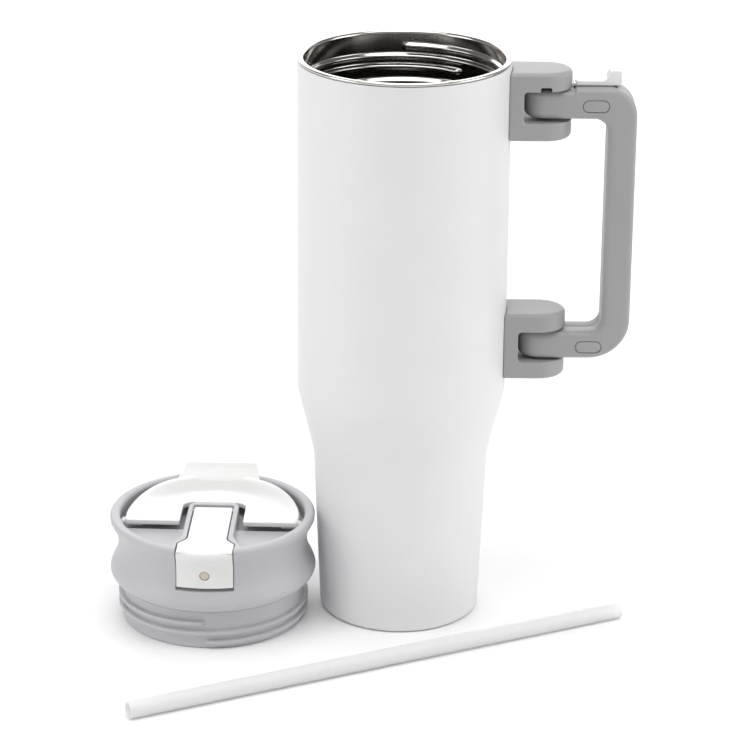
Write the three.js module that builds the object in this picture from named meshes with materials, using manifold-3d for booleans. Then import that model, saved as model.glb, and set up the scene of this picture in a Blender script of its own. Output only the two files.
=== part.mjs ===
// Insulated tumbler with a swing handle, a screw lid with two flaps, and a straw. Millimetres, +Z up.
// The origin is the centre of the tumbler's base, on the table. +X points to the handle and -Y is the front.
// The lid stands on the table at -X, off the tumbler, and the straw lies on the table in front.
import * as THREE from "three";
import { mergeVertices } from "three/addons/utils/BufferGeometryUtils.js";
import Module from "manifold-3d";

// ---- Clearances ----
const GAP = 0.3; // between pieces that touch
const RUNNING_GAP = 0.4; // between a moving piece and its guide

// ---- Tumbler body ----
const HEIGHT = 272;
const TOP_R = 49; // outer radius of the straight upper body
const FOOT_H = 80; // the narrow part that goes into a cup holder
const STEP_H = 32;
const STEP_IN = 7.7; // from the upper body's radius to the foot's
const FOOT_TAPER = 3.3;
const STEP_FILLET = 26;
const BASE_FILLET = 2.6;
const OUTER_WALL = 0.6;
const INNER_WALL = 0.5;
const VACUUM_GAP = 3.5;
const BASE_RING_W = 8.3; // the shell's standing ring round the base plate
const BASE_PLATE_T = 1.2;
const CUP_FLOOR_Z = 9;
const CUP_FLOOR_FILLET = 8;
const LIP_WIDTH = 3.1;
const LIP_T = 1.2;
const MOUTH_DEPTH = 24; // the wider threaded part of the cup
const ROUND_STEPS = 36; // facets round the large turned pieces

// ---- Screw thread of mouth and lid ----
const PITCH = 5;
const THREAD_DEPTH = 1.5;
const THREAD_CLEARANCE = 0.8; // from each thread's crest to the other's root
const THREAD_ROOT_SHARE = 0.26; // half of the ridge's width at its root, of the pitch
const THREAD_CREST_SHARE = 0.1;
const MOUTH_THREAD_TURNS = 2.1;
const MOUTH_THREAD_TOP = 7.3; // from the lip down to the first thread
const LID_THREAD_TURNS = 2;
const LID_THREAD_START = 2; // from the lid's bottom to the lowest thread
const NECK_PLAIN = 3.2; // plain neck between the highest thread and the gasket

// ---- Brackets and hinge ----
const BRACKET_ARM_H = 8.6; // above and below the slot
const BRACKET_W = 24.8;
const BRACKET_WALL = 5.3; // from the body to the slot
const UPPER_BRACKET_DROP = 20.9; // from the lip down to the middle of the upper slot
const LOWER_BRACKET_RISE = 23.5; // from the top of the step up to the middle of the lower slot
const PIN_R = 2.5;
const BUSH_WALL = 1.4;
const PIN_COVER = 3; // bracket left above the blind end of the pin's hole
const PIN_CAP_R = 3.9;
const PIN_CAP_T = 1.7;
const NOTCH_W = 5;
const NOTCH_H = 2.1;
const NOTCH_DEPTH = 3.2;
const WELD_PLATE_T = 1.2;
const WELD_PLATE_W = 18;
const WELD_PLATE_H = 22;
const BRACKET_SCREW_R = 1.3;
const BRACKET_SCREW_HEAD_R = 2.6;
const BRACKET_SCREW_HEAD_T = 1.9;
const BRACKET_SCREW_SPACING = 13;

// ---- Handle ----
const HANDLE_REACH = 42; // from the hinge axis to the outer side of the grip
const GRIP_T = 13.3;
const HANDLE_DEPTH = 18.8; // along Y
const HANDLE_GAP = 0.5; // between a tongue's round end and the slot's wall
const TONGUE_H = 13.1; // the part between a bracket's arms
const SLOT_ROOM = 1.7; // how much higher a slot is than its tongue
const TONGUE_PLAY = 0.6; // between the upper tongue and the arm above it
const UPPER_ARM_RISE = 1.5; // the upper arm outside the bracket stands this much higher
const OUTER_TOP_FILLET = 13.3;
const OUTER_BOTTOM_FILLET = 19;
const INNER_FILLET = 6.2;
const HANDLE_EDGE = 2.2; // bevel along the handle's edges
const PLUG_L = 11.9;
const PLUG_H = 5.4;
const PLUG_T = 1.4;
const PLUG_REACH = 23; // from the hinge axis to the plug's centre
const HANDLE_SCREW_R = 1.4;
const HANDLE_SCREW_HEAD_R = 2.4;

// ---- Lock slide on the upper arm ----
const LOCK_L = 20.9;
const LOCK_CAP_W = 8.8;
const LOCK_CAP_T = 2.4;
const LOCK_CAP_EDGE = 1.2; // the cap beyond the foot, each side
const LOCK_FOOT_DEPTH = 3.2;
const LOCK_LIP_H = 4.8;
const LOCK_LIP_L = 5;
const LOCK_START_GAP = 1.5; // from the bracket's end to the slide at rest
const LOCK_TRAVEL_IN = 1.3; // towards the bracket, into its notch
const LOCK_TRAVEL_OUT = 1.7;
const SPRING_H = 1.4;
const SPRING_T = 0.3;

// ---- Lid ----
const LID_STANDS_OFF = 0.9; // from the tumbler's foot to the lid beside it
const LID_BEARING = 8; // degrees from -X towards -Y, seen from the tumbler
const LID_TURN = -2; // degrees about +Z
const LID_H = 52;
const NECK_WALL = 3.2;
const WAIST_IN = 4; // from the flange's radius to the waist's
const RIM_IN = 0.4;
const RIM_WALL = 3.6;
const RIM_EDGE = 1.4; // height of the rim's rounded outer edge
const RECESS_DEPTH = 9.4; // from the rim down to the floor under the cover
const LID_FLOOR_T = 2.4;
const LID_PLATE_Z = 2;
const LID_PLATE_T = 2;
const GASKET_H = 3.2;
const GASKET_DEPTH = 1.7;
const GASKET_PROUD = 1.6; // beyond the neck
const SPINE_WALL = 2.4; // each side of the flap's tongue
const SPINE_DROP = 1; // from the rim down to the spine's top
const SPINE_TAIL = 6.3; // behind the flap's axis
const STRAW_PORT_IN = 18.4; // from the neck's bore to the port's middle
const STRAW_PORT_ROOM = 1.3; // round the straw
const SPOUT_IN = 11.4; // from the neck's bore to the spout's middle
const SPOUT_L = 20;
const SPOUT_W = 9;
const SPOUT_RISE = 3.8; // above the floor
const TUBE_WALL = 1.6;
const GROMMET_EDGE = 0.9; // the grommet's seat beyond the port
const GROMMET_H = 1.8;

// ---- Cover and flap ----
const COVER_EDGE_GAP = 3.5; // between the cover and the rim's wall
const COVER_FRONT_Y = -8.8;
const COVER_DROP = 2.2; // from the rim down to the cover's flat top
const COVER_T = 2.2;
const COVER_RISE = 3.4; // how much the back edge stands above the front
const COVER_SLOPE_W = 14.5; // from the flat part to the edge
const COVER_AXIS_Y = -5.2;
const COVER_AXIS_DROP = 4.6; // below the rim
const COVER_BARREL_R = 2.5;
const COVER_NOTCH_GAP = 3; // round the spine
const COVER_PIN_R = 1.25;
const COVER_PIN_IN = 9; // from the rim's wall to a pin's inner end
const TAB_W = 42;
const TAB_NARROWS = 7.4;
const TAB_REACH = 2.9; // beyond the rim
const TAB_RISE = 4; // above the rim
const TONGUE_W = 18.4;
const TONGUE_T = 3.4;
const TONGUE_DROP = 2.9; // from the rim to the middle of the tongue, where its hinge axis is
const FLAP_AXIS_Y = 5.2;
const FLAP_PIN_R = 1.1;
const HEAD_SHOULDER_W = 4; // the head of the T beyond its tongue, each side
const HEAD_BACK_IN = 9.6; // from the waist's radius to the shoulders
const HEAD_H = 19.8; // from the rim down to the head's bottom
const HEAD_T = 2.2;
const FLAP_PROUD = 0.5;
const GATE_RISE = 5.9; // from the head's bottom to the plug in it
const GATE_R = 2.1;
const GATE_T = 1;

// ---- Straw ----
const STRAW_R = 4;
const STRAW_WALL = 0.8;
const STRAW_L = 252;
const STRAW_STANDS_OFF = 13; // from the upper body's radius to the straw's axis
const STRAW_ALONG = -38.6; // from the point nearest to the tumbler to the straw's middle
const STRAW_TURN = 25.7; // degrees about +Z

const wasm = await Module();
wasm.setup();

// ---- Solids ----

// A closed three.js geometry as a manifold-3d solid with its faces pointing out.
function solid(geometry) {
  const bare = geometry.index ? geometry.toNonIndexed() : geometry.clone();
  for (const name of Object.keys(bare.attributes)) {
    if (name !== "position") bare.deleteAttribute(name);
  }
  const merged = mergeVertices(bare, 1e-4);
  const place = merged.attributes.position.array;
  const corners = [];
  const p = new THREE.Vector3();
  const q = new THREE.Vector3();
  const r = new THREE.Vector3();
  let sixVolumes = 0;
  for (let i = 0; i < merged.index.count; i += 3) {
    const [a, b, c] = merged.index.array.slice(i, i + 3);
    if (a === b || b === c || a === c) continue;
    corners.push(a, b, c);
    sixVolumes += p.fromArray(place, 3 * a).dot(q.fromArray(place, 3 * b).cross(r.fromArray(place, 3 * c)));
  }
  if (sixVolumes < 0) corners.reverse();
  return new wasm.Manifold(
    new wasm.Mesh({ numProp: 3, vertProperties: place, triVerts: new Uint32Array(corners) }),
  );
}

function join(first, ...others) {
  return others.reduce((made, next) => made.add(next), first);
}

function cut(first, ...others) {
  return others.reduce((made, next) => made.subtract(next), first);
}

// A solid as a named mesh.
function piece(name, made, material) {
  const data = made.getMesh();
  const geometry = new THREE.BufferGeometry();
  geometry.setAttribute("position", new THREE.BufferAttribute(new Float32Array(data.vertProperties), 3));
  geometry.setIndex(new THREE.BufferAttribute(new Uint32Array(data.triVerts), 1));
  const mesh = new THREE.Mesh(geometry, material);
  mesh.name = name;
  return mesh;
}

function box(x0, x1, y0, y1, z0, z1) {
  const made = new THREE.BoxGeometry(x1 - x0, y1 - y0, z1 - z0);
  return solid(made.translate((x0 + x1) / 2, (y0 + y1) / 2, (z0 + z1) / 2));
}

// An upright cylinder, or one along X or Y: "from" and "to" are its ends along its own axis.
function rod(axis, radius, from, to, place = [0, 0], steps = 24) {
  const made = new THREE.CylinderGeometry(radius, radius, to - from, steps);
  const middle = (from + to) / 2;
  if (axis === "x") return solid(made.rotateZ(Math.PI / 2).translate(middle, place[0], place[1]));
  if (axis === "y") return solid(made.translate(place[0], middle, place[1]));
  return solid(made.rotateX(Math.PI / 2).translate(place[0], place[1], middle));
}

// Corners [x, y, fillet radius] of a closed outline as points, with an arc at each corner. A fillet is limited
// by its shorter side, and a small one has fewer facets.
function filleted(corners, arcSteps = 4) {
  const points = [];
  corners.forEach(([x, y, radius = 0], i) => {
    const here = new THREE.Vector2(x, y);
    if (!radius) {
      points.push(here);
      return;
    }
    const before = corners[(i + corners.length - 1) % corners.length];
    const after = corners[(i + 1) % corners.length];
    const toBefore = new THREE.Vector2(before[0] - x, before[1] - y);
    const toAfter = new THREE.Vector2(after[0] - x, after[1] - y);
    const room = Math.min(toBefore.length(), toAfter.length()) * 0.49;
    toBefore.normalize();
    toAfter.normalize();
    const half = Math.acos(THREE.MathUtils.clamp(toBefore.dot(toAfter), -1, 1)) / 2;
    const reach = Math.min(radius / Math.tan(half), room);
    const arcRadius = reach * Math.tan(half);
    const middle = here
      .clone()
      .addScaledVector(toBefore.clone().add(toAfter).normalize(), arcRadius / Math.sin(half));
    const start = here.clone().addScaledVector(toBefore, reach).sub(middle);
    const turn = Math.sign(start.cross(here.clone().addScaledVector(toAfter, reach).sub(middle)));
    const facets = Math.min(arcSteps, Math.ceil(arcRadius / 1.6));
    for (let k = 0; k <= facets; k += 1) {
      const angle = (turn * (Math.PI - 2 * half) * k) / facets;
      points.push(start.clone().rotateAround(new THREE.Vector2(), angle).add(middle));
    }
  });
  return points;
}

// A closed profile of [radius, z, fillet] turned about +Z.
function turned(corners, steps = ROUND_STEPS) {
  const points = filleted(corners, 2);
  points.push(points[0].clone());
  return solid(new THREE.LatheGeometry(points, steps).rotateX(Math.PI / 2));
}

// An outline in X and Y, pushed up from z0 to z1, with an optional bevel inside the outline.
function prism(points, z0, z1, bevel = 0, bevelSteps = 2) {
  const made = new THREE.ExtrudeGeometry(new THREE.Shape(points), {
    depth: z1 - z0 - 2 * bevel,
    steps: 1,
    bevelEnabled: bevel > 0,
    bevelSize: bevel,
    bevelThickness: bevel,
    bevelOffset: -bevel,
    bevelSegments: bevelSteps,
  });
  return solid(made.translate(0, 0, z0 + bevel));
}

// The same for an outline in X and Z, pushed along Y, and for one in Y and Z, pushed along X.
function prismY(points, y0, y1, bevel = 0, bevelSteps = 2) {
  return prism(points, -y1, -y0, bevel, bevelSteps).rotate([90, 0, 0]);
}

function prismX(points, x0, x1, bevel = 0) {
  return prism(points, x0, x1, bevel).rotate([90, 0, 90]);
}

// An upright stadium-shaped bar, long in X.
function stadium(length, width, z0, z1, y) {
  const side = (length - width) / 2;
  const corners = [
    [-side - width / 2, y - width / 2, width / 2],
    [side + width / 2, y - width / 2, width / 2],
    [side + width / 2, y + width / 2, width / 2],
    [-side - width / 2, y + width / 2, width / 2],
  ];
  return prism(filleted(corners), z0, z1);
}

// One thread ridge: a trapezoid carried up a helix. It stands out from rootR to crestR, which may be the smaller.
// It begins at the angle "start" with its middle at z, and each end closes with a flat face.
function threadRidge(rootR, crestR, z, turns, start, steps = ROUND_STEPS) {
  const rootHalf = PITCH * THREAD_ROOT_SHARE;
  const crestHalf = PITCH * THREAD_CREST_SHARE;
  const section = [
    [rootR, -rootHalf],
    [crestR, -crestHalf],
    [crestR, crestHalf],
    [rootR, rootHalf],
  ];
  const count = Math.ceil(turns * steps);
  const places = [];
  const faces = [];
  for (let i = 0; i <= count; i += 1) {
    const turn = (turns * i) / count;
    const angle = start + 2 * Math.PI * turn;
    for (const [radius, height] of section) {
      places.push(radius * Math.cos(angle), radius * Math.sin(angle), z + PITCH * turn + height);
    }
  }
  const quad = (a, b, c, d) => faces.push(a, b, c, a, c, d);
  for (let i = 0; i < count; i += 1) {
    for (let k = 0; k < 4; k += 1) {
      const next = (k + 1) % 4;
      quad(4 * i + k, 4 * i + next, 4 * i + 4 + next, 4 * i + 4 + k);
    }
  }
  quad(3, 2, 1, 0);
  quad(4 * count, 4 * count + 1, 4 * count + 2, 4 * count + 3);
  const geometry = new THREE.BufferGeometry();
  geometry.setAttribute("position", new THREE.Float32BufferAttribute(places, 3));
  geometry.setIndex(faces);
  return solid(geometry);
}

// ---- Materials ----
const finish = (color, roughness, metalness = 0) =>
  new THREE.MeshStandardMaterial({ color, roughness, metalness });
const WHITE_COAT = finish(0xeeeeee, 0.55);
const STEEL = finish(0xb9b7b4, 0.25, 1);
const GREY_PLASTIC = finish(0xa6a7a8, 0.55);
const LID_PLASTIC = finish(0xc4c4c7, 0.5);
const WHITE_PLASTIC = finish(0xf4f4f2, 0.4);
const BLACK_METAL = finish(0x55504c, 0.6, 1);
const GLASS_BEAD = finish(0x6a7a6a, 0.2);
const SILICONE = finish(0xd4d4d6, 0.7);
const CLEAR_PLASTIC = finish(0xeef0f2, 0.2);
const BUSH_PLASTIC = finish(0xe8e4d8, 0.5);

const root = new THREE.Group();
const tumbler = new THREE.Group();
const lid = new THREE.Group();
const straw = new THREE.Group();
root.add(tumbler, lid, straw);

// ---- Tumbler walls ----
const STEP_BOTTOM_Z = FOOT_H;
const STEP_TOP_Z = FOOT_H + STEP_H;
const STEP_R = TOP_R - STEP_IN;
const BASE_R = STEP_R - FOOT_TAPER;
const BASE_PLATE_R = BASE_R - BASE_RING_W;
const LIP_BOTTOM_Z = HEIGHT - LIP_T;
const MOUTH_R = TOP_R - LIP_WIDTH;
const CUP_INSET = OUTER_WALL + VACUUM_GAP + INNER_WALL;

function outerShell() {
  return turned([
    [BASE_PLATE_R + GAP, 0],
    [BASE_R, 0, BASE_FILLET],
    [STEP_R, STEP_BOTTOM_Z, STEP_FILLET],
    [TOP_R, STEP_TOP_Z, STEP_FILLET],
    [TOP_R, LIP_BOTTOM_Z - GAP],
    [TOP_R - OUTER_WALL, LIP_BOTTOM_Z - GAP],
    [TOP_R - OUTER_WALL, STEP_TOP_Z, STEP_FILLET],
    [STEP_R - OUTER_WALL, STEP_BOTTOM_Z, STEP_FILLET],
    [BASE_R - OUTER_WALL, BASE_PLATE_T, BASE_FILLET],
    [BASE_PLATE_R + GAP, BASE_PLATE_T],
  ]);
}

// One side of the cup's wall, from the mouth down to the axis, "out" further out than the inner surface.
function cupSide(out) {
  return [
    [MOUTH_R + out, HEIGHT - MOUTH_DEPTH + LIP_WIDTH / 2, 1],
    [TOP_R - CUP_INSET + out, HEIGHT - MOUTH_DEPTH, 1],
    [TOP_R - CUP_INSET + out, STEP_TOP_Z, STEP_FILLET],
    [STEP_R - CUP_INSET + out, STEP_BOTTOM_Z, STEP_FILLET],
    [BASE_R - CUP_INSET + out, CUP_FLOOR_Z - out, CUP_FLOOR_FILLET],
    [0, CUP_FLOOR_Z - out],
  ];
}

function innerLiner() {
  const wall = turned([
    [TOP_R, LIP_BOTTOM_Z],
    [TOP_R, HEIGHT, 0.8],
    [MOUTH_R, HEIGHT, 1],
    ...cupSide(0),
    ...cupSide(INNER_WALL).reverse(),
    [MOUTH_R + INNER_WALL, LIP_BOTTOM_Z],
  ]);
  const bottomZ = HEIGHT - MOUTH_THREAD_TOP - PITCH * MOUTH_THREAD_TURNS;
  const start = Math.PI / 2 - 2 * Math.PI * MOUTH_THREAD_TURNS;
  const ridge = threadRidge(MOUTH_R + INNER_WALL / 2, MOUTH_R - THREAD_DEPTH, bottomZ, MOUTH_THREAD_TURNS, start);
  return join(wall, ridge);
}

const SEAL_HOLE_X = 14;
const SEAL_BEAD_R = 3;

function basePlate() {
  const hole = rod("z", SEAL_BEAD_R / 2, -1, BASE_PLATE_T + 1, [SEAL_HOLE_X, 0], 12);
  return cut(rod("z", BASE_PLATE_R, 0, BASE_PLATE_T, [0, 0], ROUND_STEPS), hole);
}

function sealBead() {
  const z = BASE_PLATE_T + GAP;
  const corners = [
    [0, z],
    [SEAL_BEAD_R, z],
    [SEAL_BEAD_R, z + SEAL_BEAD_R / 2, 1.2],
    [0, z + SEAL_BEAD_R / 2],
  ];
  return turned(corners, 16).translate([SEAL_HOLE_X, 0, 0]);
}

const GETTER_R = 6;
const GETTER_T = 2.2;
const GETTER_TOP_Z = CUP_FLOOR_Z - INNER_WALL - GAP - INNER_WALL;

function getterHolder() {
  const outerR = GETTER_R + GAP + INNER_WALL;
  const bottomZ = GETTER_TOP_Z - GAP - GETTER_T;
  const corners = [
    [0, GETTER_TOP_Z],
    [GETTER_R + GAP, GETTER_TOP_Z],
    [GETTER_R + GAP, bottomZ],
    [outerR, bottomZ],
    [outerR, GETTER_TOP_Z + INNER_WALL, 0.4],
    [0, GETTER_TOP_Z + INNER_WALL],
  ];
  return turned(corners, 24);
}

tumbler.add(
  piece("outer_shell", outerShell(), WHITE_COAT),
  piece("inner_liner", innerLiner(), STEEL),
  piece("base_plate", basePlate(), WHITE_COAT),
  piece("vacuum_seal_bead", sealBead(), GLASS_BEAD),
  piece("getter_holder", getterHolder(), STEEL),
  piece("vacuum_getter", rod("z", GETTER_R, GETTER_TOP_Z - GAP - GETTER_T, GETTER_TOP_Z - GAP), BLACK_METAL),
);

// ---- Brackets, their weld plates and screws, hinge pins ----
const SLOT_H = TONGUE_H + SLOT_ROOM;
const BRACKET_H = SLOT_H + 2 * BRACKET_ARM_H;
const UPPER_BRACKET_Z = HEIGHT - UPPER_BRACKET_DROP; // the middle of each slot
const LOWER_BRACKET_Z = STEP_TOP_Z + LOWER_BRACKET_RISE;
const BRACKET_END_R = BRACKET_W / 2;
const SLOT_X = TOP_R + BRACKET_WALL;
const HINGE_X = SLOT_X + HANDLE_GAP + HANDLE_DEPTH / 2;
const FACE_R = TOP_R + GAP; // the bracket's hollow back
const PLATE_OUT_R = FACE_R + WELD_PLATE_T;
const SCREW_SEAT_X = SLOT_X - BRACKET_SCREW_HEAD_T - GAP;

const screwPlaces = (z) => [-1, 1].map((side) => [(side * BRACKET_SCREW_SPACING) / 2, z]);

function weldPlateZone(z, extra) {
  const ring = turned([
    [FACE_R - extra, z - WELD_PLATE_H / 2 - extra],
    [PLATE_OUT_R + extra, z - WELD_PLATE_H / 2 - extra],
    [PLATE_OUT_R + extra, z + WELD_PLATE_H / 2 + extra],
    [FACE_R - extra, z + WELD_PLATE_H / 2 + extra],
  ]);
  const half = WELD_PLATE_W / 2 + extra;
  return ring.intersect(box(0, TOP_R + 10, -half, half, 0, HEIGHT));
}

function bracket(z, notched) {
  const low = z - BRACKET_H / 2;
  const high = z + BRACKET_H / 2;
  const outline = filleted(
    [
      [TOP_R - 12, -BRACKET_W / 2],
      [HINGE_X + BRACKET_END_R, -BRACKET_W / 2, BRACKET_END_R],
      [HINGE_X + BRACKET_END_R, BRACKET_W / 2, BRACKET_END_R],
      [TOP_R - 12, BRACKET_W / 2],
    ],
    7,
  );
  const slot = filleted([
    [SLOT_X, z - SLOT_H / 2, 1.5],
    [HINGE_X + BRACKET_W, z - SLOT_H / 2],
    [HINGE_X + BRACKET_W, z + SLOT_H / 2],
    [SLOT_X, z + SLOT_H / 2, 1.5],
  ]);
  const cuts = [
    rod("z", FACE_R, low - 1, high + 1, [0, 0], 2 * ROUND_STEPS),
    prismY(slot, -BRACKET_W, BRACKET_W),
    weldPlateZone(z, GAP),
    rod("z", PIN_R + GAP, low - 1, high - PIN_COVER, [HINGE_X, 0]),
    rod("z", PIN_CAP_R + GAP, low - 1, low + PIN_CAP_T + GAP, [HINGE_X, 0]),
  ];
  for (const place of screwPlaces(z)) {
    cuts.push(rod("x", BRACKET_SCREW_R + GAP, TOP_R - 2, SLOT_X + 1, place, 12));
    cuts.push(rod("x", BRACKET_SCREW_HEAD_R + GAP, SCREW_SEAT_X, SLOT_X + 1, place, 16));
  }
  if (notched) {
    const notchZ = z + SLOT_H / 2;
    for (const turn of [-90, 0, 90]) {
      const notch = box(
        BRACKET_END_R - NOTCH_DEPTH, BRACKET_END_R + 1, -NOTCH_W / 2, NOTCH_W / 2, notchZ - 1, notchZ + NOTCH_H,
      );
      cuts.push(notch.rotate([0, 0, turn]).translate([HINGE_X, 0, 0]));
    }
  }
  return cut(prism(outline, low, high, 1.2), ...cuts);
}

function weldPlate(z) {
  const holes = screwPlaces(z).map((place) => rod("x", BRACKET_SCREW_R + GAP, 0, TOP_R + 10, place, 12));
  return cut(weldPlateZone(z, 0), ...holes);
}

function bracketScrew(place) {
  const seat = SCREW_SEAT_X + GAP;
  return join(
    rod("x", BRACKET_SCREW_R, TOP_R + 0.2, seat + 0.5, place, 12),
    rod("x", BRACKET_SCREW_HEAD_R, seat, seat + BRACKET_SCREW_HEAD_T, place, 16),
  );
}

function hingePin(z) {
  const low = z - BRACKET_H / 2 + PIN_CAP_T + 2 * GAP;
  return rod("z", PIN_R, low, z + BRACKET_H / 2 - PIN_COVER - GAP, [HINGE_X, 0]);
}

for (const [label, z] of [["upper", UPPER_BRACKET_Z], ["lower", LOWER_BRACKET_Z]]) {
  const low = z - BRACKET_H / 2;
  tumbler.add(
    piece(label + "_bracket", bracket(z, label === "upper"), GREY_PLASTIC),
    piece(label + "_weld_plate", weldPlate(z), STEEL),
    piece(label + "_hinge_pin", hingePin(z), STEEL),
    piece(label + "_pin_cap", rod("z", PIN_CAP_R, low, low + PIN_CAP_T, [HINGE_X, 0]), GREY_PLASTIC),
  );
  screwPlaces(z).forEach((place, i) => {
    const name = label + "_bracket_screw_" + ["front", "rear"][i];
    tumbler.add(piece(name, bracketScrew(place), STEEL));
  });
}

// ---- Handle ----
const HALF_DEPTH = HANDLE_DEPTH / 2;
const UPPER_TONGUE_TOP = UPPER_BRACKET_Z + SLOT_H / 2 - TONGUE_PLAY;
const UPPER_TONGUE_BOTTOM = UPPER_TONGUE_TOP - TONGUE_H;
const LOWER_TONGUE_BOTTOM = LOWER_BRACKET_Z - TONGUE_H / 2;
const LOWER_TONGUE_TOP = LOWER_BRACKET_Z + TONGUE_H / 2;
const ARM_TOP = UPPER_TONGUE_TOP + UPPER_ARM_RISE;
const RAISED_X = HINGE_X + BRACKET_END_R + 2 * RUNNING_GAP; // where the raised upper arm starts
const GRIP_OUT_X = HINGE_X + HANDLE_REACH;
const TONGUE_R = HALF_DEPTH;
const BUSH_R = PIN_R + GAP + BUSH_WALL;
const PLUG_X = HINGE_X + PLUG_REACH;
const PLUG_PLACES = { upper: UPPER_TONGUE_BOTTOM + TONGUE_H / 2, lower: LOWER_BRACKET_Z - 0.6 };

const LOCK_FOOT_W = LOCK_CAP_W - 2 * LOCK_CAP_EDGE;
const TROUGH_BOTTOM = ARM_TOP - LOCK_FOOT_DEPTH - RUNNING_GAP;
const LOCK_START_X = HINGE_X + BRACKET_END_R + LOCK_START_GAP;
const FOOT_START_X = RAISED_X + LOCK_TRAVEL_IN + RUNNING_GAP;
const FOOT_END_X = LOCK_START_X + LOCK_L - 4;

// The full-thickness handle before it is split: the C-shaped frame and the upper tongue.
function handleBlank() {
  const tongueStart = HINGE_X - TONGUE_R - 4;
  const frame = filleted([
    [tongueStart, LOWER_TONGUE_BOTTOM],
    [GRIP_OUT_X, LOWER_TONGUE_BOTTOM, OUTER_BOTTOM_FILLET],
    [GRIP_OUT_X, ARM_TOP, OUTER_TOP_FILLET],
    [RAISED_X, ARM_TOP],
    [RAISED_X, UPPER_TONGUE_BOTTOM],
    [GRIP_OUT_X - GRIP_T, UPPER_TONGUE_BOTTOM, INNER_FILLET],
    [GRIP_OUT_X - GRIP_T, LOWER_TONGUE_TOP, INNER_FILLET],
    [tongueStart, LOWER_TONGUE_TOP],
  ], 5);
  const tongue = filleted([
    [tongueStart, UPPER_TONGUE_BOTTOM],
    [PLUG_X, UPPER_TONGUE_BOTTOM],
    [PLUG_X, UPPER_TONGUE_TOP],
    [tongueStart, UPPER_TONGUE_TOP],
  ]);
  const blank = join(
    prismY(frame, -HALF_DEPTH, HALF_DEPTH, HANDLE_EDGE),
    prismY(tongue, -HALF_DEPTH, HALF_DEPTH, HANDLE_EDGE),
  );
  const allowed = join(
    box(HINGE_X, GRIP_OUT_X + 1, -HALF_DEPTH - 1, HALF_DEPTH + 1, 0, HEIGHT),
    tongueEnd(UPPER_TONGUE_BOTTOM, UPPER_TONGUE_TOP),
    tongueEnd(LOWER_TONGUE_BOTTOM, LOWER_TONGUE_TOP),
  );
  return blank.intersect(allowed);
}

// The round end of a tongue about the hinge axis.
function tongueEnd(low, high) {
  const corners = [
    [0, low],
    [TONGUE_R, low, HANDLE_EDGE],
    [TONGUE_R, high, HANDLE_EDGE],
    [0, high],
  ];
  return turned(corners, 32).translate([HINGE_X, 0, 0]);
}

function ovalPlug(z, grow, from, to) {
  const half = PLUG_H / 2 + grow;
  const reach = PLUG_L / 2 + grow;
  const corners = [
    [PLUG_X - reach, z - half, half],
    [PLUG_X + reach, z - half, half],
    [PLUG_X + reach, z + half, half],
    [PLUG_X - reach, z + half, half],
  ];
  return prismY(filleted(corners), from, to);
}

const SCREW_HEAD_Y = -HALF_DEPTH + PLUG_T + 2 * GAP;
const SCREW_HEAD_T = 2;
const SCREW_TIP_Y = 4;

function handleScrew(z) {
  return join(
    rod("y", HANDLE_SCREW_HEAD_R, SCREW_HEAD_Y, SCREW_HEAD_Y + SCREW_HEAD_T, [PLUG_X, z], 16),
    rod("y", HANDLE_SCREW_R, SCREW_HEAD_Y + 1, SCREW_TIP_Y, [PLUG_X, z], 12),
  );
}

// The handle with its bush holes, screw holes, plug seats and the trough of the lock slide.
function handleSolid() {
  const cuts = [
    rod("z", BUSH_R + GAP, 1, HEIGHT - 1, [HINGE_X, 0]),
    box(
      RAISED_X - 2, FOOT_END_X + LOCK_TRAVEL_OUT + RUNNING_GAP,
      -LOCK_FOOT_W / 2 - RUNNING_GAP, LOCK_FOOT_W / 2 + RUNNING_GAP, TROUGH_BOTTOM, ARM_TOP + 1,
    ).subtract(box(0, RAISED_X, -9, 9, 0, UPPER_TONGUE_TOP)),
  ];
  for (const z of Object.values(PLUG_PLACES)) {
    cuts.push(ovalPlug(z, GAP, -HALF_DEPTH - 1, -HALF_DEPTH + PLUG_T + GAP));
    cuts.push(
      rod("y", HANDLE_SCREW_HEAD_R + GAP, -HALF_DEPTH, SCREW_HEAD_Y + SCREW_HEAD_T + GAP, [PLUG_X, z], 16),
      rod("y", HANDLE_SCREW_R + GAP, -HALF_DEPTH, SCREW_TIP_Y + GAP, [PLUG_X, z], 12),
    );
  }
  return cut(handleBlank(), ...cuts);
}

const wholeHandle = handleSolid();
const frontHalf = box(0, GRIP_OUT_X + 5, -HANDLE_DEPTH, -GAP / 2, 0, HEIGHT);
const rearHalf = box(0, GRIP_OUT_X + 5, GAP / 2, HANDLE_DEPTH, 0, HEIGHT);
tumbler.add(
  piece("handle_front_shell", wholeHandle.intersect(frontHalf), GREY_PLASTIC),
  piece("handle_rear_shell", wholeHandle.intersect(rearHalf), GREY_PLASTIC),
);
for (const [label, low, high] of [
  ["upper", UPPER_TONGUE_BOTTOM, UPPER_TONGUE_TOP],
  ["lower", LOWER_TONGUE_BOTTOM, LOWER_TONGUE_TOP],
]) {
  const bush = cut(
    rod("z", BUSH_R, low, high, [HINGE_X, 0]),
    rod("z", PIN_R + GAP, low - 1, high + 1, [HINGE_X, 0]),
  );
  const plug = ovalPlug(PLUG_PLACES[label], 0, -HALF_DEPTH, -HALF_DEPTH + PLUG_T);
  tumbler.add(
    piece(label + "_bush", bush, BUSH_PLASTIC),
    piece(label + "_handle_screw", handleScrew(PLUG_PLACES[label]), STEEL),
    piece(label + "_oval_plug", plug, GREY_PLASTIC),
  );
}

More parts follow.
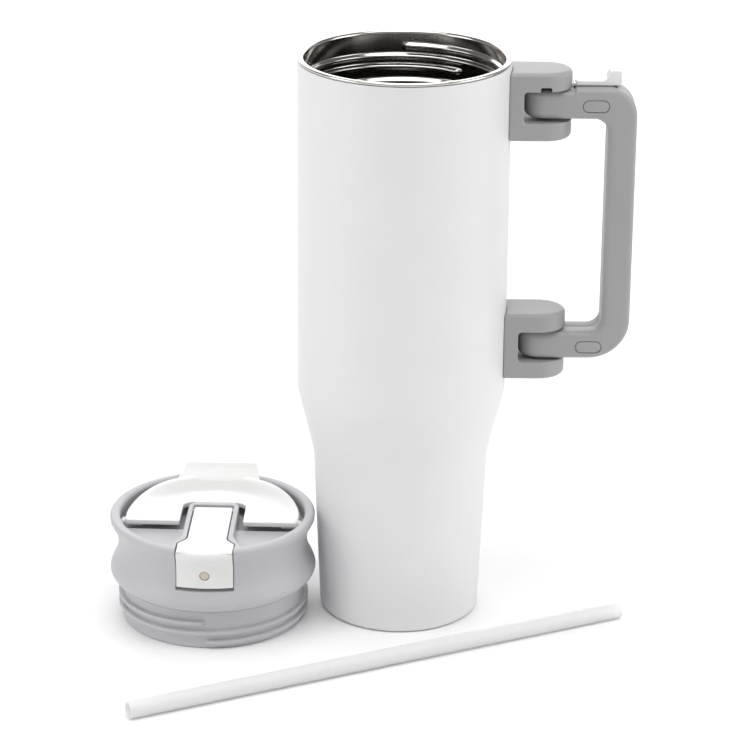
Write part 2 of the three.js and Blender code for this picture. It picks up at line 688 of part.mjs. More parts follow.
// ---- Lock slide: a cap over the arm, a foot in the trough, a tooth towards the bracket and a thumb lip ----
function lockSlider() {
  const capLow = ARM_TOP + RUNNING_GAP;
  const capHigh = capLow + LOCK_CAP_T;
  const end = LOCK_START_X + LOCK_L;
  const side = filleted([
    [LOCK_START_X, capLow],
    [end, capLow],
    [end, capHigh + LOCK_LIP_H, 1.5],
    [end - LOCK_LIP_L, capHigh + LOCK_LIP_H, 1.5],
    [end - LOCK_LIP_L - 2, capHigh, 1.5],
    [LOCK_START_X, capHigh, 0.8],
  ]);
  const toothX = HINGE_X + BRACKET_END_R + GAP;
  const toothZ = UPPER_BRACKET_Z + SLOT_H / 2 + GAP;
  return join(
    prismY(side, -LOCK_CAP_W / 2, LOCK_CAP_W / 2),
    box(
      FOOT_START_X, FOOT_END_X, -LOCK_FOOT_W / 2, LOCK_FOOT_W / 2,
      TROUGH_BOTTOM + RUNNING_GAP + SPRING_H, capLow + 0.5,
    ),
    box(toothX, LOCK_START_X + 1, GAP - NOTCH_W / 2, NOTCH_W / 2 - GAP, toothZ, toothZ + NOTCH_H - 2 * GAP),
  );
}

// A bent leaf that rests on the trough's bottom and holds the slide where it is put.
function detentSpring() {
  const low = TROUGH_BOTTOM + GAP / 2;
  const start = RAISED_X + 2;
  const end = FOOT_END_X - 2;
  const middle = (start + end) / 2;
  const rise = SPRING_H - SPRING_T - GAP;
  const upper = [
    [end, low + SPRING_T],
    [middle + 2, low + rise],
    [middle - 2, low + rise],
    [start, low + SPRING_T],
  ];
  const lower = [
    [start, low],
    [middle - 2, low + rise - SPRING_T],
    [middle + 2, low + rise - SPRING_T],
    [end, low],
  ];
  return prismY(filleted([...lower, ...upper]), -LOCK_FOOT_W / 4, LOCK_FOOT_W / 4);
}

tumbler.add(
  piece("lock_slider", lockSlider(), WHITE_PLASTIC),
  piece("lock_detent_spring", detentSpring(), STEEL),
);

// ---- Lid body ----
const NECK_R = MOUTH_R - THREAD_DEPTH - THREAD_CLEARANCE;
const NECK_BORE_R = NECK_R - NECK_WALL;
const GROOVE_R = NECK_R - GASKET_DEPTH;
const LID_THREAD_Z = LID_THREAD_START + PITCH * THREAD_ROOT_SHARE; // the middle of the lowest thread
const GASKET_Z = LID_THREAD_Z + PITCH * (LID_THREAD_TURNS + THREAD_ROOT_SHARE) + NECK_PLAIN;
const NECK_H = GASKET_Z + GASKET_H;
const FLANGE_R = TOP_R;
const LID_WAIST_R = FLANGE_R - WAIST_IN;
const RIM_R = FLANGE_R - RIM_IN;
const RIM_BORE_R = RIM_R - RIM_WALL;
const LID_FLOOR_Z = LID_H - RECESS_DEPTH;
const LID_PLATE_TOP = LID_PLATE_Z + LID_PLATE_T;

// The side of the lid from the flange up to the rim: a bulge, a waist and a flare. Each height is a share of the
// way from the flange's underside to where the rim's edge rounds over.
function lidSide(out) {
  const through = [
    [NECK_R + 3.3, 0.007],
    [FLANGE_R - 0.4, 0.06],
    [FLANGE_R, 0.14],
    [FLANGE_R - 1.2, 0.264],
    [LID_WAIST_R + 1, 0.402],
    [LID_WAIST_R, 0.591],
    [LID_WAIST_R + 0.8, 0.811],
    [RIM_R - 1.2, 0.946],
    [RIM_R, 1],
  ];
  const height = LID_H - RIM_EDGE - NECK_H;
  const points = through.map(([r, share]) => new THREE.Vector2(r + out, NECK_H + height * share));
  return new THREE.SplineCurve(points).getPoints(11).map((p) => [p.x, p.y]);
}

function lidTurned() {
  return turned([
    [NECK_BORE_R, 0],
    [NECK_R, 0, 1],
    [NECK_R, GASKET_Z],
    [GROOVE_R, GASKET_Z],
    [GROOVE_R, NECK_H],
    ...lidSide(0),
    [RIM_R - 1, LID_H],
    [RIM_BORE_R, LID_H, 0.8],
    [RIM_BORE_R, LID_FLOOR_Z, 1.5],
    [0, LID_FLOOR_Z],
    [0, LID_FLOOR_Z - LID_FLOOR_T],
    [NECK_BORE_R, LID_FLOOR_Z - LID_FLOOR_T, 2],
  ]);
}

// The raised spine that holds the flap's tongue, joined to the rim at the front.
const SPINE_W = TONGUE_W + 2 * (RUNNING_GAP + SPINE_WALL);
const SPINE_END_Y = FLAP_AXIS_Y + SPINE_TAIL;
const HEAD_BACK_Y = HEAD_BACK_IN - LID_WAIST_R; // the shoulders of the T

function spine() {
  const half = SPINE_W / 2;
  const corners = [
    [-half, -RIM_BORE_R + 1],
    [half, -RIM_BORE_R + 1],
    [half, SPINE_END_Y, 4.5],
    [-half, SPINE_END_Y, 4.5],
  ];
  const shoulders = [
    [-half - 5, -RIM_BORE_R + 3],
    [half + 5, -RIM_BORE_R + 3],
    [half, HEAD_BACK_Y + 1, 1],
    [-half, HEAD_BACK_Y + 1, 1],
  ];
  const low = LID_FLOOR_Z - 0.5;
  const inside = rod("z", RIM_BORE_R + 1, low - 1, LID_H, [0, 0], ROUND_STEPS);
  return join(
    prism(filleted(corners), low, LID_H - SPINE_DROP),
    prism(filleted(shoulders), low, LID_H - SPINE_DROP),
  ).intersect(inside);
}

// Where the flap lies: a trough for the tongue, room for the head, and the pocket in the lid's front.
const TONGUE_Z = LID_H - TONGUE_DROP;
const TROUGH_Z = TONGUE_Z - TONGUE_T / 2 - RUNNING_GAP * 2;
const TROUGH_END_Y = FLAP_AXIS_Y + TONGUE_T / 2 + 1.3;
const HEAD_W = TONGUE_W + 2 * HEAD_SHOULDER_W;
const HEAD_BOTTOM_Z = LID_H - HEAD_H;
const HEAD_INNER_Y = HEAD_T - LID_WAIST_R;

function flapRoom() {
  const tongueHalf = TONGUE_W / 2 + RUNNING_GAP;
  const headHalf = HEAD_W / 2 + RUNNING_GAP;
  return join(
    box(-tongueHalf, tongueHalf, -FLANGE_R - 5, TROUGH_END_Y, TROUGH_Z, LID_H + 5),
    box(-headHalf, headHalf, -FLANGE_R - 5, HEAD_BACK_Y + RUNNING_GAP, TROUGH_Z, LID_H + 5),
    box(-headHalf, headHalf, -FLANGE_R - 5, HEAD_INNER_Y + RUNNING_GAP, HEAD_BOTTOM_Z - 1.9, LID_H + 5),
  );
}

const COVER_R = RIM_BORE_R - COVER_EDGE_GAP;
const COVER_TOP_Z = LID_H - COVER_DROP;
const COVER_AXIS_Z = LID_H - COVER_AXIS_DROP;
const COVER_PIN_IN_X = RIM_BORE_R - COVER_PIN_IN;
const COVER_PIN_OUT_X = Math.sqrt(RIM_BORE_R ** 2 - COVER_AXIS_Y ** 2) + 0.9;
const FLAP_PIN_HALF = SPINE_W / 2 - 0.6;
const STRAW_PORT_Y = STRAW_PORT_IN - NECK_BORE_R;
const STRAW_PORT_R = STRAW_R + STRAW_PORT_ROOM;
const SPOUT_Y = NECK_BORE_R - SPOUT_IN;
const SPOUT_TOP_Z = LID_FLOOR_Z + SPOUT_RISE;
const GROMMET_R = STRAW_PORT_R + GROMMET_EDGE;
const GROMMET_BORE_R = STRAW_R + GAP;
const GROMMET_Z = TROUGH_Z - GROMMET_H - 3.4;

function lidBody() {
  const ridge = threadRidge(NECK_R - 0.5, NECK_R + THREAD_DEPTH, LID_THREAD_Z, LID_THREAD_TURNS, -Math.PI / 2);
  const port = rod("z", STRAW_PORT_R + TUBE_WALL, LID_PLATE_TOP + GAP, LID_FLOOR_Z, [0, STRAW_PORT_Y]);
  const spout = stadium(
    SPOUT_L + 2 * TUBE_WALL, SPOUT_W + 2 * TUBE_WALL, LID_PLATE_TOP + GAP, SPOUT_TOP_Z, SPOUT_Y,
  );
  const holes = [
    flapRoom(),
    rod("z", STRAW_PORT_R, -1, LID_H, [0, STRAW_PORT_Y]),
    stadium(SPOUT_L, SPOUT_W, -1, LID_H, SPOUT_Y),
    rod("z", GROMMET_R + GAP, GROMMET_Z - GAP, LID_H, [0, STRAW_PORT_Y]),
    rod("x", FLAP_PIN_R + GAP, -FLAP_PIN_HALF - GAP, FLAP_PIN_HALF + GAP, [FLAP_AXIS_Y, TONGUE_Z], 12),
    rod("x", COVER_PIN_R + GAP, -COVER_PIN_OUT_X - GAP, COVER_PIN_OUT_X + GAP, [COVER_AXIS_Y, COVER_AXIS_Z], 12)
      .subtract(box(-COVER_PIN_IN_X, COVER_PIN_IN_X, -60, 60, 0, LID_H)),
  ];
  return cut(join(lidTurned(), ridge, port, spout, spine()), ...holes);
}

function lidGasket() {
  return turned([
    [GROOVE_R + GAP, GASKET_Z + GAP, 0.6],
    [NECK_R + GASKET_PROUD, GASKET_Z + GAP, 1],
    [NECK_R + GASKET_PROUD, NECK_H - GAP, 1],
    [GROOVE_R + GAP, NECK_H - GAP, 0.6],
  ]);
}

function lidUnderplate() {
  return cut(
    rod("z", NECK_BORE_R - GAP, LID_PLATE_Z, LID_PLATE_TOP, [0, 0], ROUND_STEPS),
    rod("z", STRAW_PORT_R, 0, LID_H, [0, STRAW_PORT_Y]),
    stadium(SPOUT_L, SPOUT_W, 0, LID_H, SPOUT_Y),
  );
}

function strawGrommet() {
  return cut(
    rod("z", GROMMET_R, GROMMET_Z, GROMMET_Z + GROMMET_H, [0, STRAW_PORT_Y]),
    rod("z", GROMMET_BORE_R, GROMMET_Z - 1, GROMMET_Z + GROMMET_H + 1, [0, STRAW_PORT_Y]),
  );
}

// ---- Flip cover: a dished D over the back of the lid, with a thumb tab over the rim ----

// Height of the cover's upper face: flat inside the plateau, and rising outside it towards the back.
function coverTop(x, y) {
  const radius = Math.hypot(x, y);
  const outward = THREE.MathUtils.smoothstep(radius, COVER_R - COVER_SLOPE_W, COVER_R);
  const backward = THREE.MathUtils.smoothstep(radius > 0 ? y / radius : 0, 0.45, 0.85);
  return COVER_TOP_Z + COVER_RISE * outward * backward;
}

// A round plate whose faces follow coverTop, on rings of points about the axis.
function coverDisc(rings = 6, steps = 40) {
  const places = [];
  const faces = [];
  for (const drop of [0, COVER_T]) {
    places.push(0, 0, coverTop(0, 0) - drop);
    for (let i = 0; i < rings; i += 1) {
      const radius = (COVER_R * (i + 2)) / (rings + 1);
      for (let k = 0; k < steps; k += 1) {
        const angle = (2 * Math.PI * k) / steps;
        const [x, y] = [radius * Math.cos(angle), radius * Math.sin(angle)];
        places.push(x, y, coverTop(x, y) - drop);
      }
    }
  }
  const layer = 1 + rings * steps;
  const at = (side, ring, k) => side * layer + 1 + ring * steps + (k % steps);
  for (let k = 0; k < steps; k += 1) {
    faces.push(0, at(0, 0, k), at(0, 0, k + 1), layer, at(1, 0, k + 1), at(1, 0, k));
    for (let i = 0; i + 1 < rings; i += 1) {
      faces.push(at(0, i, k), at(0, i + 1, k), at(0, i + 1, k + 1), at(0, i, k), at(0, i + 1, k + 1), at(0, i, k + 1));
      faces.push(at(1, i, k), at(1, i + 1, k + 1), at(1, i + 1, k), at(1, i, k), at(1, i, k + 1), at(1, i + 1, k + 1));
    }
    const last = rings - 1;
    faces.push(at(0, last, k), at(1, last, k), at(1, last, k + 1), at(0, last, k), at(1, last, k + 1), at(0, last, k + 1));
  }
  const geometry = new THREE.BufferGeometry();
  geometry.setAttribute("position", new THREE.Float32BufferAttribute(places, 3));
  geometry.setIndex(faces);
  return solid(geometry);
}

function coverTab() {
  const tipY = RIM_R + TAB_REACH;
  const tipZ = LID_H + TAB_RISE;
  const tipHalf = (TAB_W - TAB_NARROWS) / 2;
  const backZ = COVER_TOP_Z + COVER_RISE;
  const startY = COVER_R - 5;
  const overRim = Math.max(LID_H + RUNNING_GAP, backZ - COVER_T);
  const side = [
    [startY, backZ - COVER_T],
    [Math.sqrt(RIM_BORE_R ** 2 - (TAB_W / 2) ** 2) - 2 * RUNNING_GAP, overRim],
    [RIM_R + 0.5, overRim],
    [tipY, tipZ - COVER_T, 1],
    [tipY, tipZ, 1],
    [startY, backZ - 0.3],
  ];
  const plan = [
    [-TAB_W / 2, startY - 1],
    [TAB_W / 2, startY - 1],
    [tipHalf, tipY + 1, 4],
    [-tipHalf, tipY + 1, 4],
  ];
  return prismX(filleted(side), -TAB_W, TAB_W).intersect(prism(filleted(plan), 0, 2 * LID_H));
}

function flipCover() {
  const half = SPINE_W / 2 + COVER_NOTCH_GAP;
  const notchEndY = SPINE_END_Y + COVER_NOTCH_GAP - 0.5;
  const notch = [
    [-half, COVER_FRONT_Y - 5],
    [half, COVER_FRONT_Y - 5],
    [half, notchEndY, 5],
    [-half, notchEndY, 5],
  ];
  const barrelIn = COVER_PIN_IN_X - 3;
  const barrelOut = COVER_PIN_OUT_X - 2.4;
  const barrels = [-1, 1].map((side) => {
    const ends = [side * barrelIn, side * barrelOut].sort((a, b) => a - b);
    return rod("x", COVER_BARREL_R, ends[0], ends[1], [COVER_AXIS_Y, COVER_AXIS_Z], 16);
  });
  const disc = cut(
    join(coverDisc(), coverTab()),
    box(-60, 60, -60, COVER_FRONT_Y, 0, 2 * LID_H),
    prism(filleted(notch), 0, 2 * LID_H),
  );
  const pinHoles = [-1, 1].map((side) => {
    const ends = [side * (COVER_PIN_IN_X - GAP), side * (COVER_R + 5)].sort((a, b) => a - b);
    return rod("x", COVER_PIN_R + GAP, ends[0], ends[1], [COVER_AXIS_Y, COVER_AXIS_Z], 12);
  });
  return cut(join(disc, ...barrels), ...pinHoles);
}

// A soft pad that lies on the spout's collar, with a plug that enters it.
function coverSeal() {
  const top = COVER_TOP_Z - COVER_T - GAP;
  return join(
    stadium(SPOUT_L + TUBE_WALL, SPOUT_W + TUBE_WALL, SPOUT_TOP_Z + GAP, top, SPOUT_Y),
    stadium(SPOUT_L - 3, SPOUT_W - 3, SPOUT_TOP_Z - 2.4, top, SPOUT_Y),
  );
}

function coverPin(side) {
  const ends = [side * COVER_PIN_IN_X, side * COVER_PIN_OUT_X].sort((a, b) => a - b);
  return rod("x", COVER_PIN_R, ends[0], ends[1], [COVER_AXIS_Y, COVER_AXIS_Z], 12);
}

// ---- Front flap: a T whose tongue lies in the spine and whose head folds down over the lid's front ----
const GATE_FACE_Y = GAP - LID_WAIST_R - FLAP_PROUD;
const GATE_Z = HEAD_BOTTOM_Z + GATE_RISE;

function frontFlap() {
  const top = TONGUE_Z + TONGUE_T / 2;
  const bottom = TONGUE_Z - TONGUE_T / 2;
  const front = -FLANGE_R - 3;
  const side = [
    [HEAD_INNER_Y, HEAD_BOTTOM_Z],
    [HEAD_INNER_Y, bottom, 1],
    [FLAP_AXIS_Y + TONGUE_T / 2, bottom, TONGUE_T / 2],
    [FLAP_AXIS_Y + TONGUE_T / 2, top, TONGUE_T / 2],
    [front, top],
    [front, HEAD_BOTTOM_Z],
  ];
  const half = TONGUE_W / 2;
  const headHalf = HEAD_W / 2;
  const plan = [
    [-headHalf, front - 1],
    [headHalf, front - 1],
    [headHalf, HEAD_BACK_Y - 2.5, 1],
    [half, HEAD_BACK_Y, 1],
    [half, FLAP_AXIS_Y + TONGUE_T],
    [-half, FLAP_AXIS_Y + TONGUE_T],
    [-half, HEAD_BACK_Y, 1],
    [-headHalf, HEAD_BACK_Y - 2.5, 1],
  ];
  const skin = turned([
    [0, NECK_H],
    ...lidSide(FLAP_PROUD),
    [RIM_R - 1, top],
    [0, top],
  ]);
  const blank = prismX(filleted(side), -headHalf, headHalf)
    .intersect(prism(filleted(plan), 0, 2 * LID_H))
    .intersect(skin);
  const pinHole = rod("x", FLAP_PIN_R + GAP, -SPINE_W, SPINE_W, [FLAP_AXIS_Y, TONGUE_Z], 12);
  const gateSeat = rod("y", GATE_R + GAP, -FLANGE_R - 5, GATE_FACE_Y + GATE_T + GAP, [0, GATE_Z], 16);
  return cut(blank, pinHole, gateSeat);
}

function flapPlug() {
  const top = TONGUE_Z - TONGUE_T / 2 - GAP;
  const corners = [
    [0, TROUGH_Z - 3],
    [GROMMET_BORE_R - 0.7, TROUGH_Z - 3, 0.8],
    [GROMMET_BORE_R, top],
    [0, top],
  ];
  return turned(corners, 24).translate([0, STRAW_PORT_Y, 0]);
}

lid.add(
  piece("lid_body", lidBody(), LID_PLASTIC),
  piece("lid_gasket", lidGasket(), SILICONE),
  piece("lid_underplate", lidUnderplate(), LID_PLASTIC),
  piece("straw_grommet", strawGrommet(), SILICONE),
  piece("flip_cover", flipCover(), WHITE_PLASTIC),
  piece("cover_seal", coverSeal(), SILICONE),
  piece("cover_pin_left", coverPin(-1), STEEL),
  piece("cover_pin_right", coverPin(1), STEEL),
  piece("front_flap", frontFlap(), WHITE_PLASTIC),
  piece("flap_pin", rod("x", FLAP_PIN_R, -FLAP_PIN_HALF, FLAP_PIN_HALF, [FLAP_AXIS_Y, TONGUE_Z], 12), STEEL),
  piece("flap_plug", flapPlug(), SILICONE),
  piece("flap_gate_plug", rod("y", GATE_R, GATE_FACE_Y, GATE_FACE_Y + GATE_T, [0, GATE_Z], 16), BUSH_PLASTIC),
);
const footR = BASE_R + (FOOT_TAPER * Math.min(LID_H, FOOT_H)) / FOOT_H;
const lidDistance = footR + LID_STANDS_OFF + FLANGE_R;
const lidBearing = THREE.MathUtils.degToRad(LID_BEARING);
lid.position.set(-lidDistance * Math.cos(lidBearing), -lidDistance * Math.sin(lidBearing), 0);
lid.rotation.z = THREE.MathUtils.degToRad(LID_TURN);

// ---- Straw ----
const strawTube = cut(
  rod("x", STRAW_R, -STRAW_L / 2, STRAW_L / 2, [0, STRAW_R], 20),
  rod("x", STRAW_R - STRAW_WALL, -STRAW_L / 2 - 1, STRAW_L / 2 + 1, [0, STRAW_R], 20),
);
straw.add(piece("straw", strawTube, CLEAR_PLASTIC));
straw.rotation.z = THREE.MathUtils.degToRad(STRAW_TURN);
straw.position.set(STRAW_ALONG, -TOP_R - STRAW_STANDS_OFF, 0).applyEuler(straw.rotation);

export default root;
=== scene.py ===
import math

import bmesh
import bpy
import numpy as np
from mathutils import Matrix, Vector


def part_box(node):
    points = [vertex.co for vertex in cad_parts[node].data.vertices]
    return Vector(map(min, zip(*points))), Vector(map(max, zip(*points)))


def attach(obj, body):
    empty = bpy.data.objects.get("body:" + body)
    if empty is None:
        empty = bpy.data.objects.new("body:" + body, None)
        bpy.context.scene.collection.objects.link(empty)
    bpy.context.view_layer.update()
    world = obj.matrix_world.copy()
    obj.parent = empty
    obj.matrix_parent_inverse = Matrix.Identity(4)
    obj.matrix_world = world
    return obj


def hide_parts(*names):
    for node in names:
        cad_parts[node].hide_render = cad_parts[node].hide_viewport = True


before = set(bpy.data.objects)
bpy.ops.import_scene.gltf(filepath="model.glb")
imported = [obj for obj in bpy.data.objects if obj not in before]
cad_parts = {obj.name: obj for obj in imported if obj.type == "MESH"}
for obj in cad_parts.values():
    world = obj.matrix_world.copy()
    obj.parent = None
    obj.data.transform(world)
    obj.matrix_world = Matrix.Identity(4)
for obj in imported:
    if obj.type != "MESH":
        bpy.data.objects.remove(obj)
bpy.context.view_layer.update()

MM = 0.001
scene = bpy.context.scene
scene.view_settings.view_transform = "Standard"


def node_box(name):
    """Lowest and highest corner of a CAD node in millimetres."""
    low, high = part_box(name)
    return np.array(low) / MM, np.array(high) / MM


# ---- Sizes in millimetres, read off the CAD nodes where they can be ----
cup_low, cup_high = node_box("inner_liner")
TOP_R = node_box("outer_shell")[1][0]
HEIGHT = cup_high[2]
FOOT_H, STEP_H = 80.0, 32.0
STEP_TOP_Z = FOOT_H + STEP_H
STEP_R, BASE_R = TOP_R - 7.7, TOP_R - 11.0
STEP_FILLET, BASE_FILLET = 26, 2.6
COAT_WALL, STEEL_WALL, CUP_INSET = 0.6, 0.5, 4.6
BASE_PLATE_R, BASE_PLATE_T = BASE_R - 8.3, 1.2
LIP_WIDTH, LIP_T, MOUTH_DEPTH = 3.1, 1.2, 24.0
CUP_FLOOR_Z, CUP_FLOOR_FILLET = cup_low[2] + STEEL_WALL, 8
PITCH, THREAD_DEPTH = 5.0, 1.5
MOUTH_TURNS, MOUTH_THREAD_DROP = 2.1, 7.3
LID_TURNS, LID_THREAD_Z = 2.0, 3.3

gasket_low, gasket_high = node_box("lid_gasket")
LID_X, LID_Y = (gasket_low + gasket_high)[:2] / 2
LID_TURN = math.radians(-2)
LID_H = node_box("lid_body")[1][2]
GASKET_ROOM = 0.3
NECK_R, NECK_BORE_R, NECK_H = 43.6, 40.4, gasket_high[2] + GASKET_ROOM
GROOVE_R, GROOVE_LOW = NECK_R - 1.7, gasket_low[2] - GASKET_ROOM
FLANGE_R, WAIST_R, RIM_R, RIM_BORE_R, RIM_ROUND = 49.0, 45.0, 48.6, 45.0, 3.2
LID_FLOOR_Z, LID_FLOOR_T = LID_H - 9.4, 2.4
STRAW_PORT_Y, STRAW_PORT_R = -22.0, 5.3
SPOUT_Y, SPOUT_L, SPOUT_W = 29.0, 20, 9
TUBE_WALL, TUBE_LOW = 1.6, 4.3

TONGUE_Z, TONGUE_T, TONGUE_W, HEAD_W = LID_H - 2.9, 3.4, 18.4, 26.4
FLAP_AXIS_Y, FLAP_PROUD, FLAP_GAP = 5.2, 0.5, 0.5
HEAD_BOTTOM_Z, HEAD_INNER_Y, HEAD_BACK_Y = LID_H - 19.8, -42.8, -35.4
GATE_R, GATE_T, GATE_RISE = 2.1, 1, 5.9
SPINE_W, SPINE_END_Y = 24.0, 11.5
COVER_R, COVER_FRONT_Y, COVER_T = RIM_BORE_R - 3.5, -8.8, 2.4
COVER_TOP_Z, COVER_RISE = LID_H - 2.2, 3.4
COVER_AXIS_Y, COVER_AXIS_Z, BARREL_R = -5.2, LID_H - 4.6, 2.0
TAB_W, TAB_TIP_W, TAB_REACH = 42, 34.6, 2.9

HINGE_X = sum(v[0] for v in node_box("upper_hinge_pin")) / 2
BRACKET_END_R, BRACKET_ARM_H, BRACKET_EDGE = 12.4, 8.6, 2.2
SLOT_H, SLOT_X, SLOT_CORNER = 14.8, TOP_R + 5.3, 1.5
PIN_CAP_R, PIN_CAP_T = 3.9, 1.7
NOTCH_W, NOTCH_H = 5.0, 2.1

HANDLE_HALF_DEPTH = node_box("handle_rear_shell")[1][1]
GRIP_OUT_X = node_box("handle_front_shell")[1][0]
ARM_TOP = node_box("handle_front_shell")[1][2]
GRIP_T, TONGUE_H = 13.3, 13.1
GRIP_IN_X = GRIP_OUT_X - GRIP_T
LOWER_BOTTOM = node_box("handle_front_shell")[0][2]
LOWER_TOP = LOWER_BOTTOM + TONGUE_H
UPPER_TOP = ARM_TOP - 1.5
UPPER_BOTTOM = UPPER_TOP - TONGUE_H
RAISED_X = HINGE_X + BRACKET_END_R + 0.8
plug_low, plug_high = node_box("upper_oval_plug")
PLUG_X = (plug_low[0] + plug_high[0]) / 2
PLUG_L, PLUG_H = plug_high[0] - plug_low[0], plug_high[2] - plug_low[2]
PLUG_T, PLUG_GAP = 1.4, 0.28
lock_low, lock_high = node_box("lock_slider")

straw_low, straw_high = node_box("straw")
STRAW_R, STRAW_WALL, STRAW_L = 4.0, 0.8, 252.0
STRAW_TURN = math.radians(25.7)

FAR = 60.0  # how far a cutting shape reaches past the piece it cuts


# ---- Shapes as arrays of points ----

def rounded_corners(corners, steps=6):
    """A line through corners (a, b, radius): each corner becomes an arc of that radius, tangent to both sides."""
    made = []
    count = len(corners)
    for i, (x, y, radius) in enumerate(corners):
        here = np.array((x, y), float)
        if radius <= 0:
            made.append(here[None])
            continue
        before = np.array(corners[(i - 1) % count][:2], float) - here
        after = np.array(corners[(i + 1) % count][:2], float) - here
        room = 0.49 * min(np.linalg.norm(before), np.linalg.norm(after))
        before /= np.linalg.norm(before)
        after /= np.linalg.norm(after)
        half = math.acos(np.clip(before @ after, -1, 1)) / 2
        reach = min(radius / math.tan(half), room)
        arc = reach * math.tan(half)
        middle = here + (before + after) / np.linalg.norm(before + after) * arc / math.sin(half)
        first = here + before * reach - middle
        last = here + after * reach - middle
        turn = math.copysign(math.pi - 2 * half, first[0] * last[1] - first[1] * last[0])
        angle = turn * np.linspace(0, 1, steps + 1)
        made.append(middle + np.stack([first[0] * np.cos(angle) - first[1] * np.sin(angle),
                                       first[0] * np.sin(angle) + first[1] * np.cos(angle)], -1))
    return np.concatenate(made)


def dense(line, step, closed=True):
    """The same line with points added so that no side is longer than step."""
    ends = np.roll(line, -1, axis=0) if closed else line[1:]
    starts = line if closed else line[:-1]
    counts = np.maximum(1, np.ceil(np.linalg.norm(ends - starts, axis=1) / step)).astype(int)
    pieces = [a + (b - a) * (np.arange(n) / n)[:, None] for a, b, n in zip(starts, ends, counts)]
    return np.concatenate(pieces if closed else pieces + [line[-1:]])


def eased(share):
    """0 to 1 with a soft start and a soft end: 3 s^2 - 2 s^3."""
    return share * share * (3 - 2 * share)


def grid_faces(rows, columns, wrap_rows=False, wrap_columns=True):
    """The quads of a rows x columns grid of points, as point numbers."""
    r, c = np.meshgrid(np.arange(rows if wrap_rows else rows - 1),
                       np.arange(columns if wrap_columns else columns - 1), indexing="ij")
    r2, c2 = (r + 1) % rows, (c + 1) % columns
    return np.stack([r * columns + c, r * columns + c2, r2 * columns + c2, r2 * columns + c], -1).reshape(-1, 4)


def loft(rings, wrap_rows=False):
    """Closed rings of points joined in order: each ring to the next, and the two end rings closed by flat faces."""
    rows, columns = rings.shape[:2]
    faces = grid_faces(rows, columns, wrap_rows).tolist()
    if not wrap_rows:
        faces += [list(range(columns))[::-1], list(range((rows - 1) * columns, rows * columns))]
    return rings.reshape(-1, 3), faces


def turned(profile, steps=192, wave=None):
    """A closed profile of (radius, height) carried once round +Z: x = r cos a, y = r sin a, z = h.
    wave(angle, row radius, row height) adds to the radius."""
    angle = np.linspace(0, 2 * np.pi, steps, endpoint=False)[None, :]
    r, z = profile[:, :1] + 0 * angle, profile[:, 1:] + 0 * angle
    if wave is not None:
        r = r + wave(angle, r, z)
    rings = np.stack([r * np.cos(angle), r * np.sin(angle), z], -1)
    return rings.reshape(-1, 3), grid_faces(len(profile), steps, wrap_rows=True).tolist()


def outward(outline):
    """The outward unit normal of a closed anticlockwise outline, at each of its points."""
    along = np.roll(outline, -1, axis=0) - np.roll(outline, 1, axis=0)
    normal = np.stack([along[:, 1], -along[:, 0]], -1)
    return normal / np.maximum(np.linalg.norm(normal, axis=1, keepdims=True), 1e-9)


def plate(outline, low, high, low_round, high_round, steps=5):
    """A closed outline carried up from low to high. Near each end it is drawn in by r(1 - sin t) while the
    height goes r(1 - cos t), so the edge is a quarter round of radius r."""
    normal = outward(outline)
    t = np.linspace(0, np.pi / 2, steps)
    drawn_in = np.concatenate([low_round * (1 - np.sin(t)), high_round * (1 - np.sin(t[::-1]))])
    height = np.concatenate([low + low_round * (1 - np.cos(t)), high - high_round * (1 - np.cos(t[::-1]))])
    flat = outline[None] - normal[None] * drawn_in[:, None, None]
    return loft(np.concatenate([flat, np.broadcast_to(height[:, None, None], flat.shape[:2] + (1,))], -1))


def stand_y(shape):
    """A plate made in X and Z and carried along Y: (x, z, y) becomes (x, y, z)."""
    points, faces = shape
    return points[:, [0, 2, 1]], faces


def stand_x(shape):
    """A plate made in Y and Z and carried along X: (y, z, x) becomes (x, y, z)."""
    points, faces = shape
    return points[:, [2, 0, 1]], faces


def stadium(length, width, steps=16):
    """The outline of a bar with round ends, long in X."""
    side = (length - width) / 2
    t = np.linspace(-np.pi / 2, np.pi / 2, steps)
    right = np.stack([side + width / 2 * np.cos(t), width / 2 * np.sin(t)], -1)
    return np.concatenate([right, -right])


def circle(radius, steps=48):
    """The outline of a disc."""
    t = np.linspace(0, 2 * np.pi, steps, endpoint=False)
    return radius * np.stack([np.cos(t), np.sin(t)], -1)


def rectangle(left, right, low, high):
    """The outline of a rectangle, anticlockwise."""
    return np.array([(left, low), (right, low), (right, high), (left, high)], float)


def bar_x(radius, start, end, y, z, steps=32):
    """A round bar along X."""
    return stand_x(plate(circle(radius, steps) + (y, z), start, end, 0, 0))


def tube(outline, wall, low, high):
    """A tube on an outline: up outside it, over a rounded top and down inside it, closed on itself."""
    normal = outward(outline)
    rings = [(wall, low), (wall, high - 0.5), (wall - 0.15, high - 0.15), (wall - 0.5, high),
             (0.4, high), (0.0, high - 0.4), (0.0, low)]
    points = [np.concatenate([outline + normal * grow, np.full((len(outline), 1), z)], 1) for grow, z in rings]
    return loft(np.stack(points), wrap_rows=True)


def moved(shape, by):
    """The same shape, set off by three lengths."""
    return shape[0] + np.array(by, float), shape[1]


def joined(*shapes):
    """Several closed shapes as one list of points and faces."""
    points, faces, first = [], [], 0
    for some, polygons in shapes:
        points.append(some)
        faces += [[first + i for i in polygon] for polygon in polygons]
        first += len(some)
    return np.concatenate(points), faces


RIDGE_END = 0.008  # of a turn, over which a screw ridge starts and ends


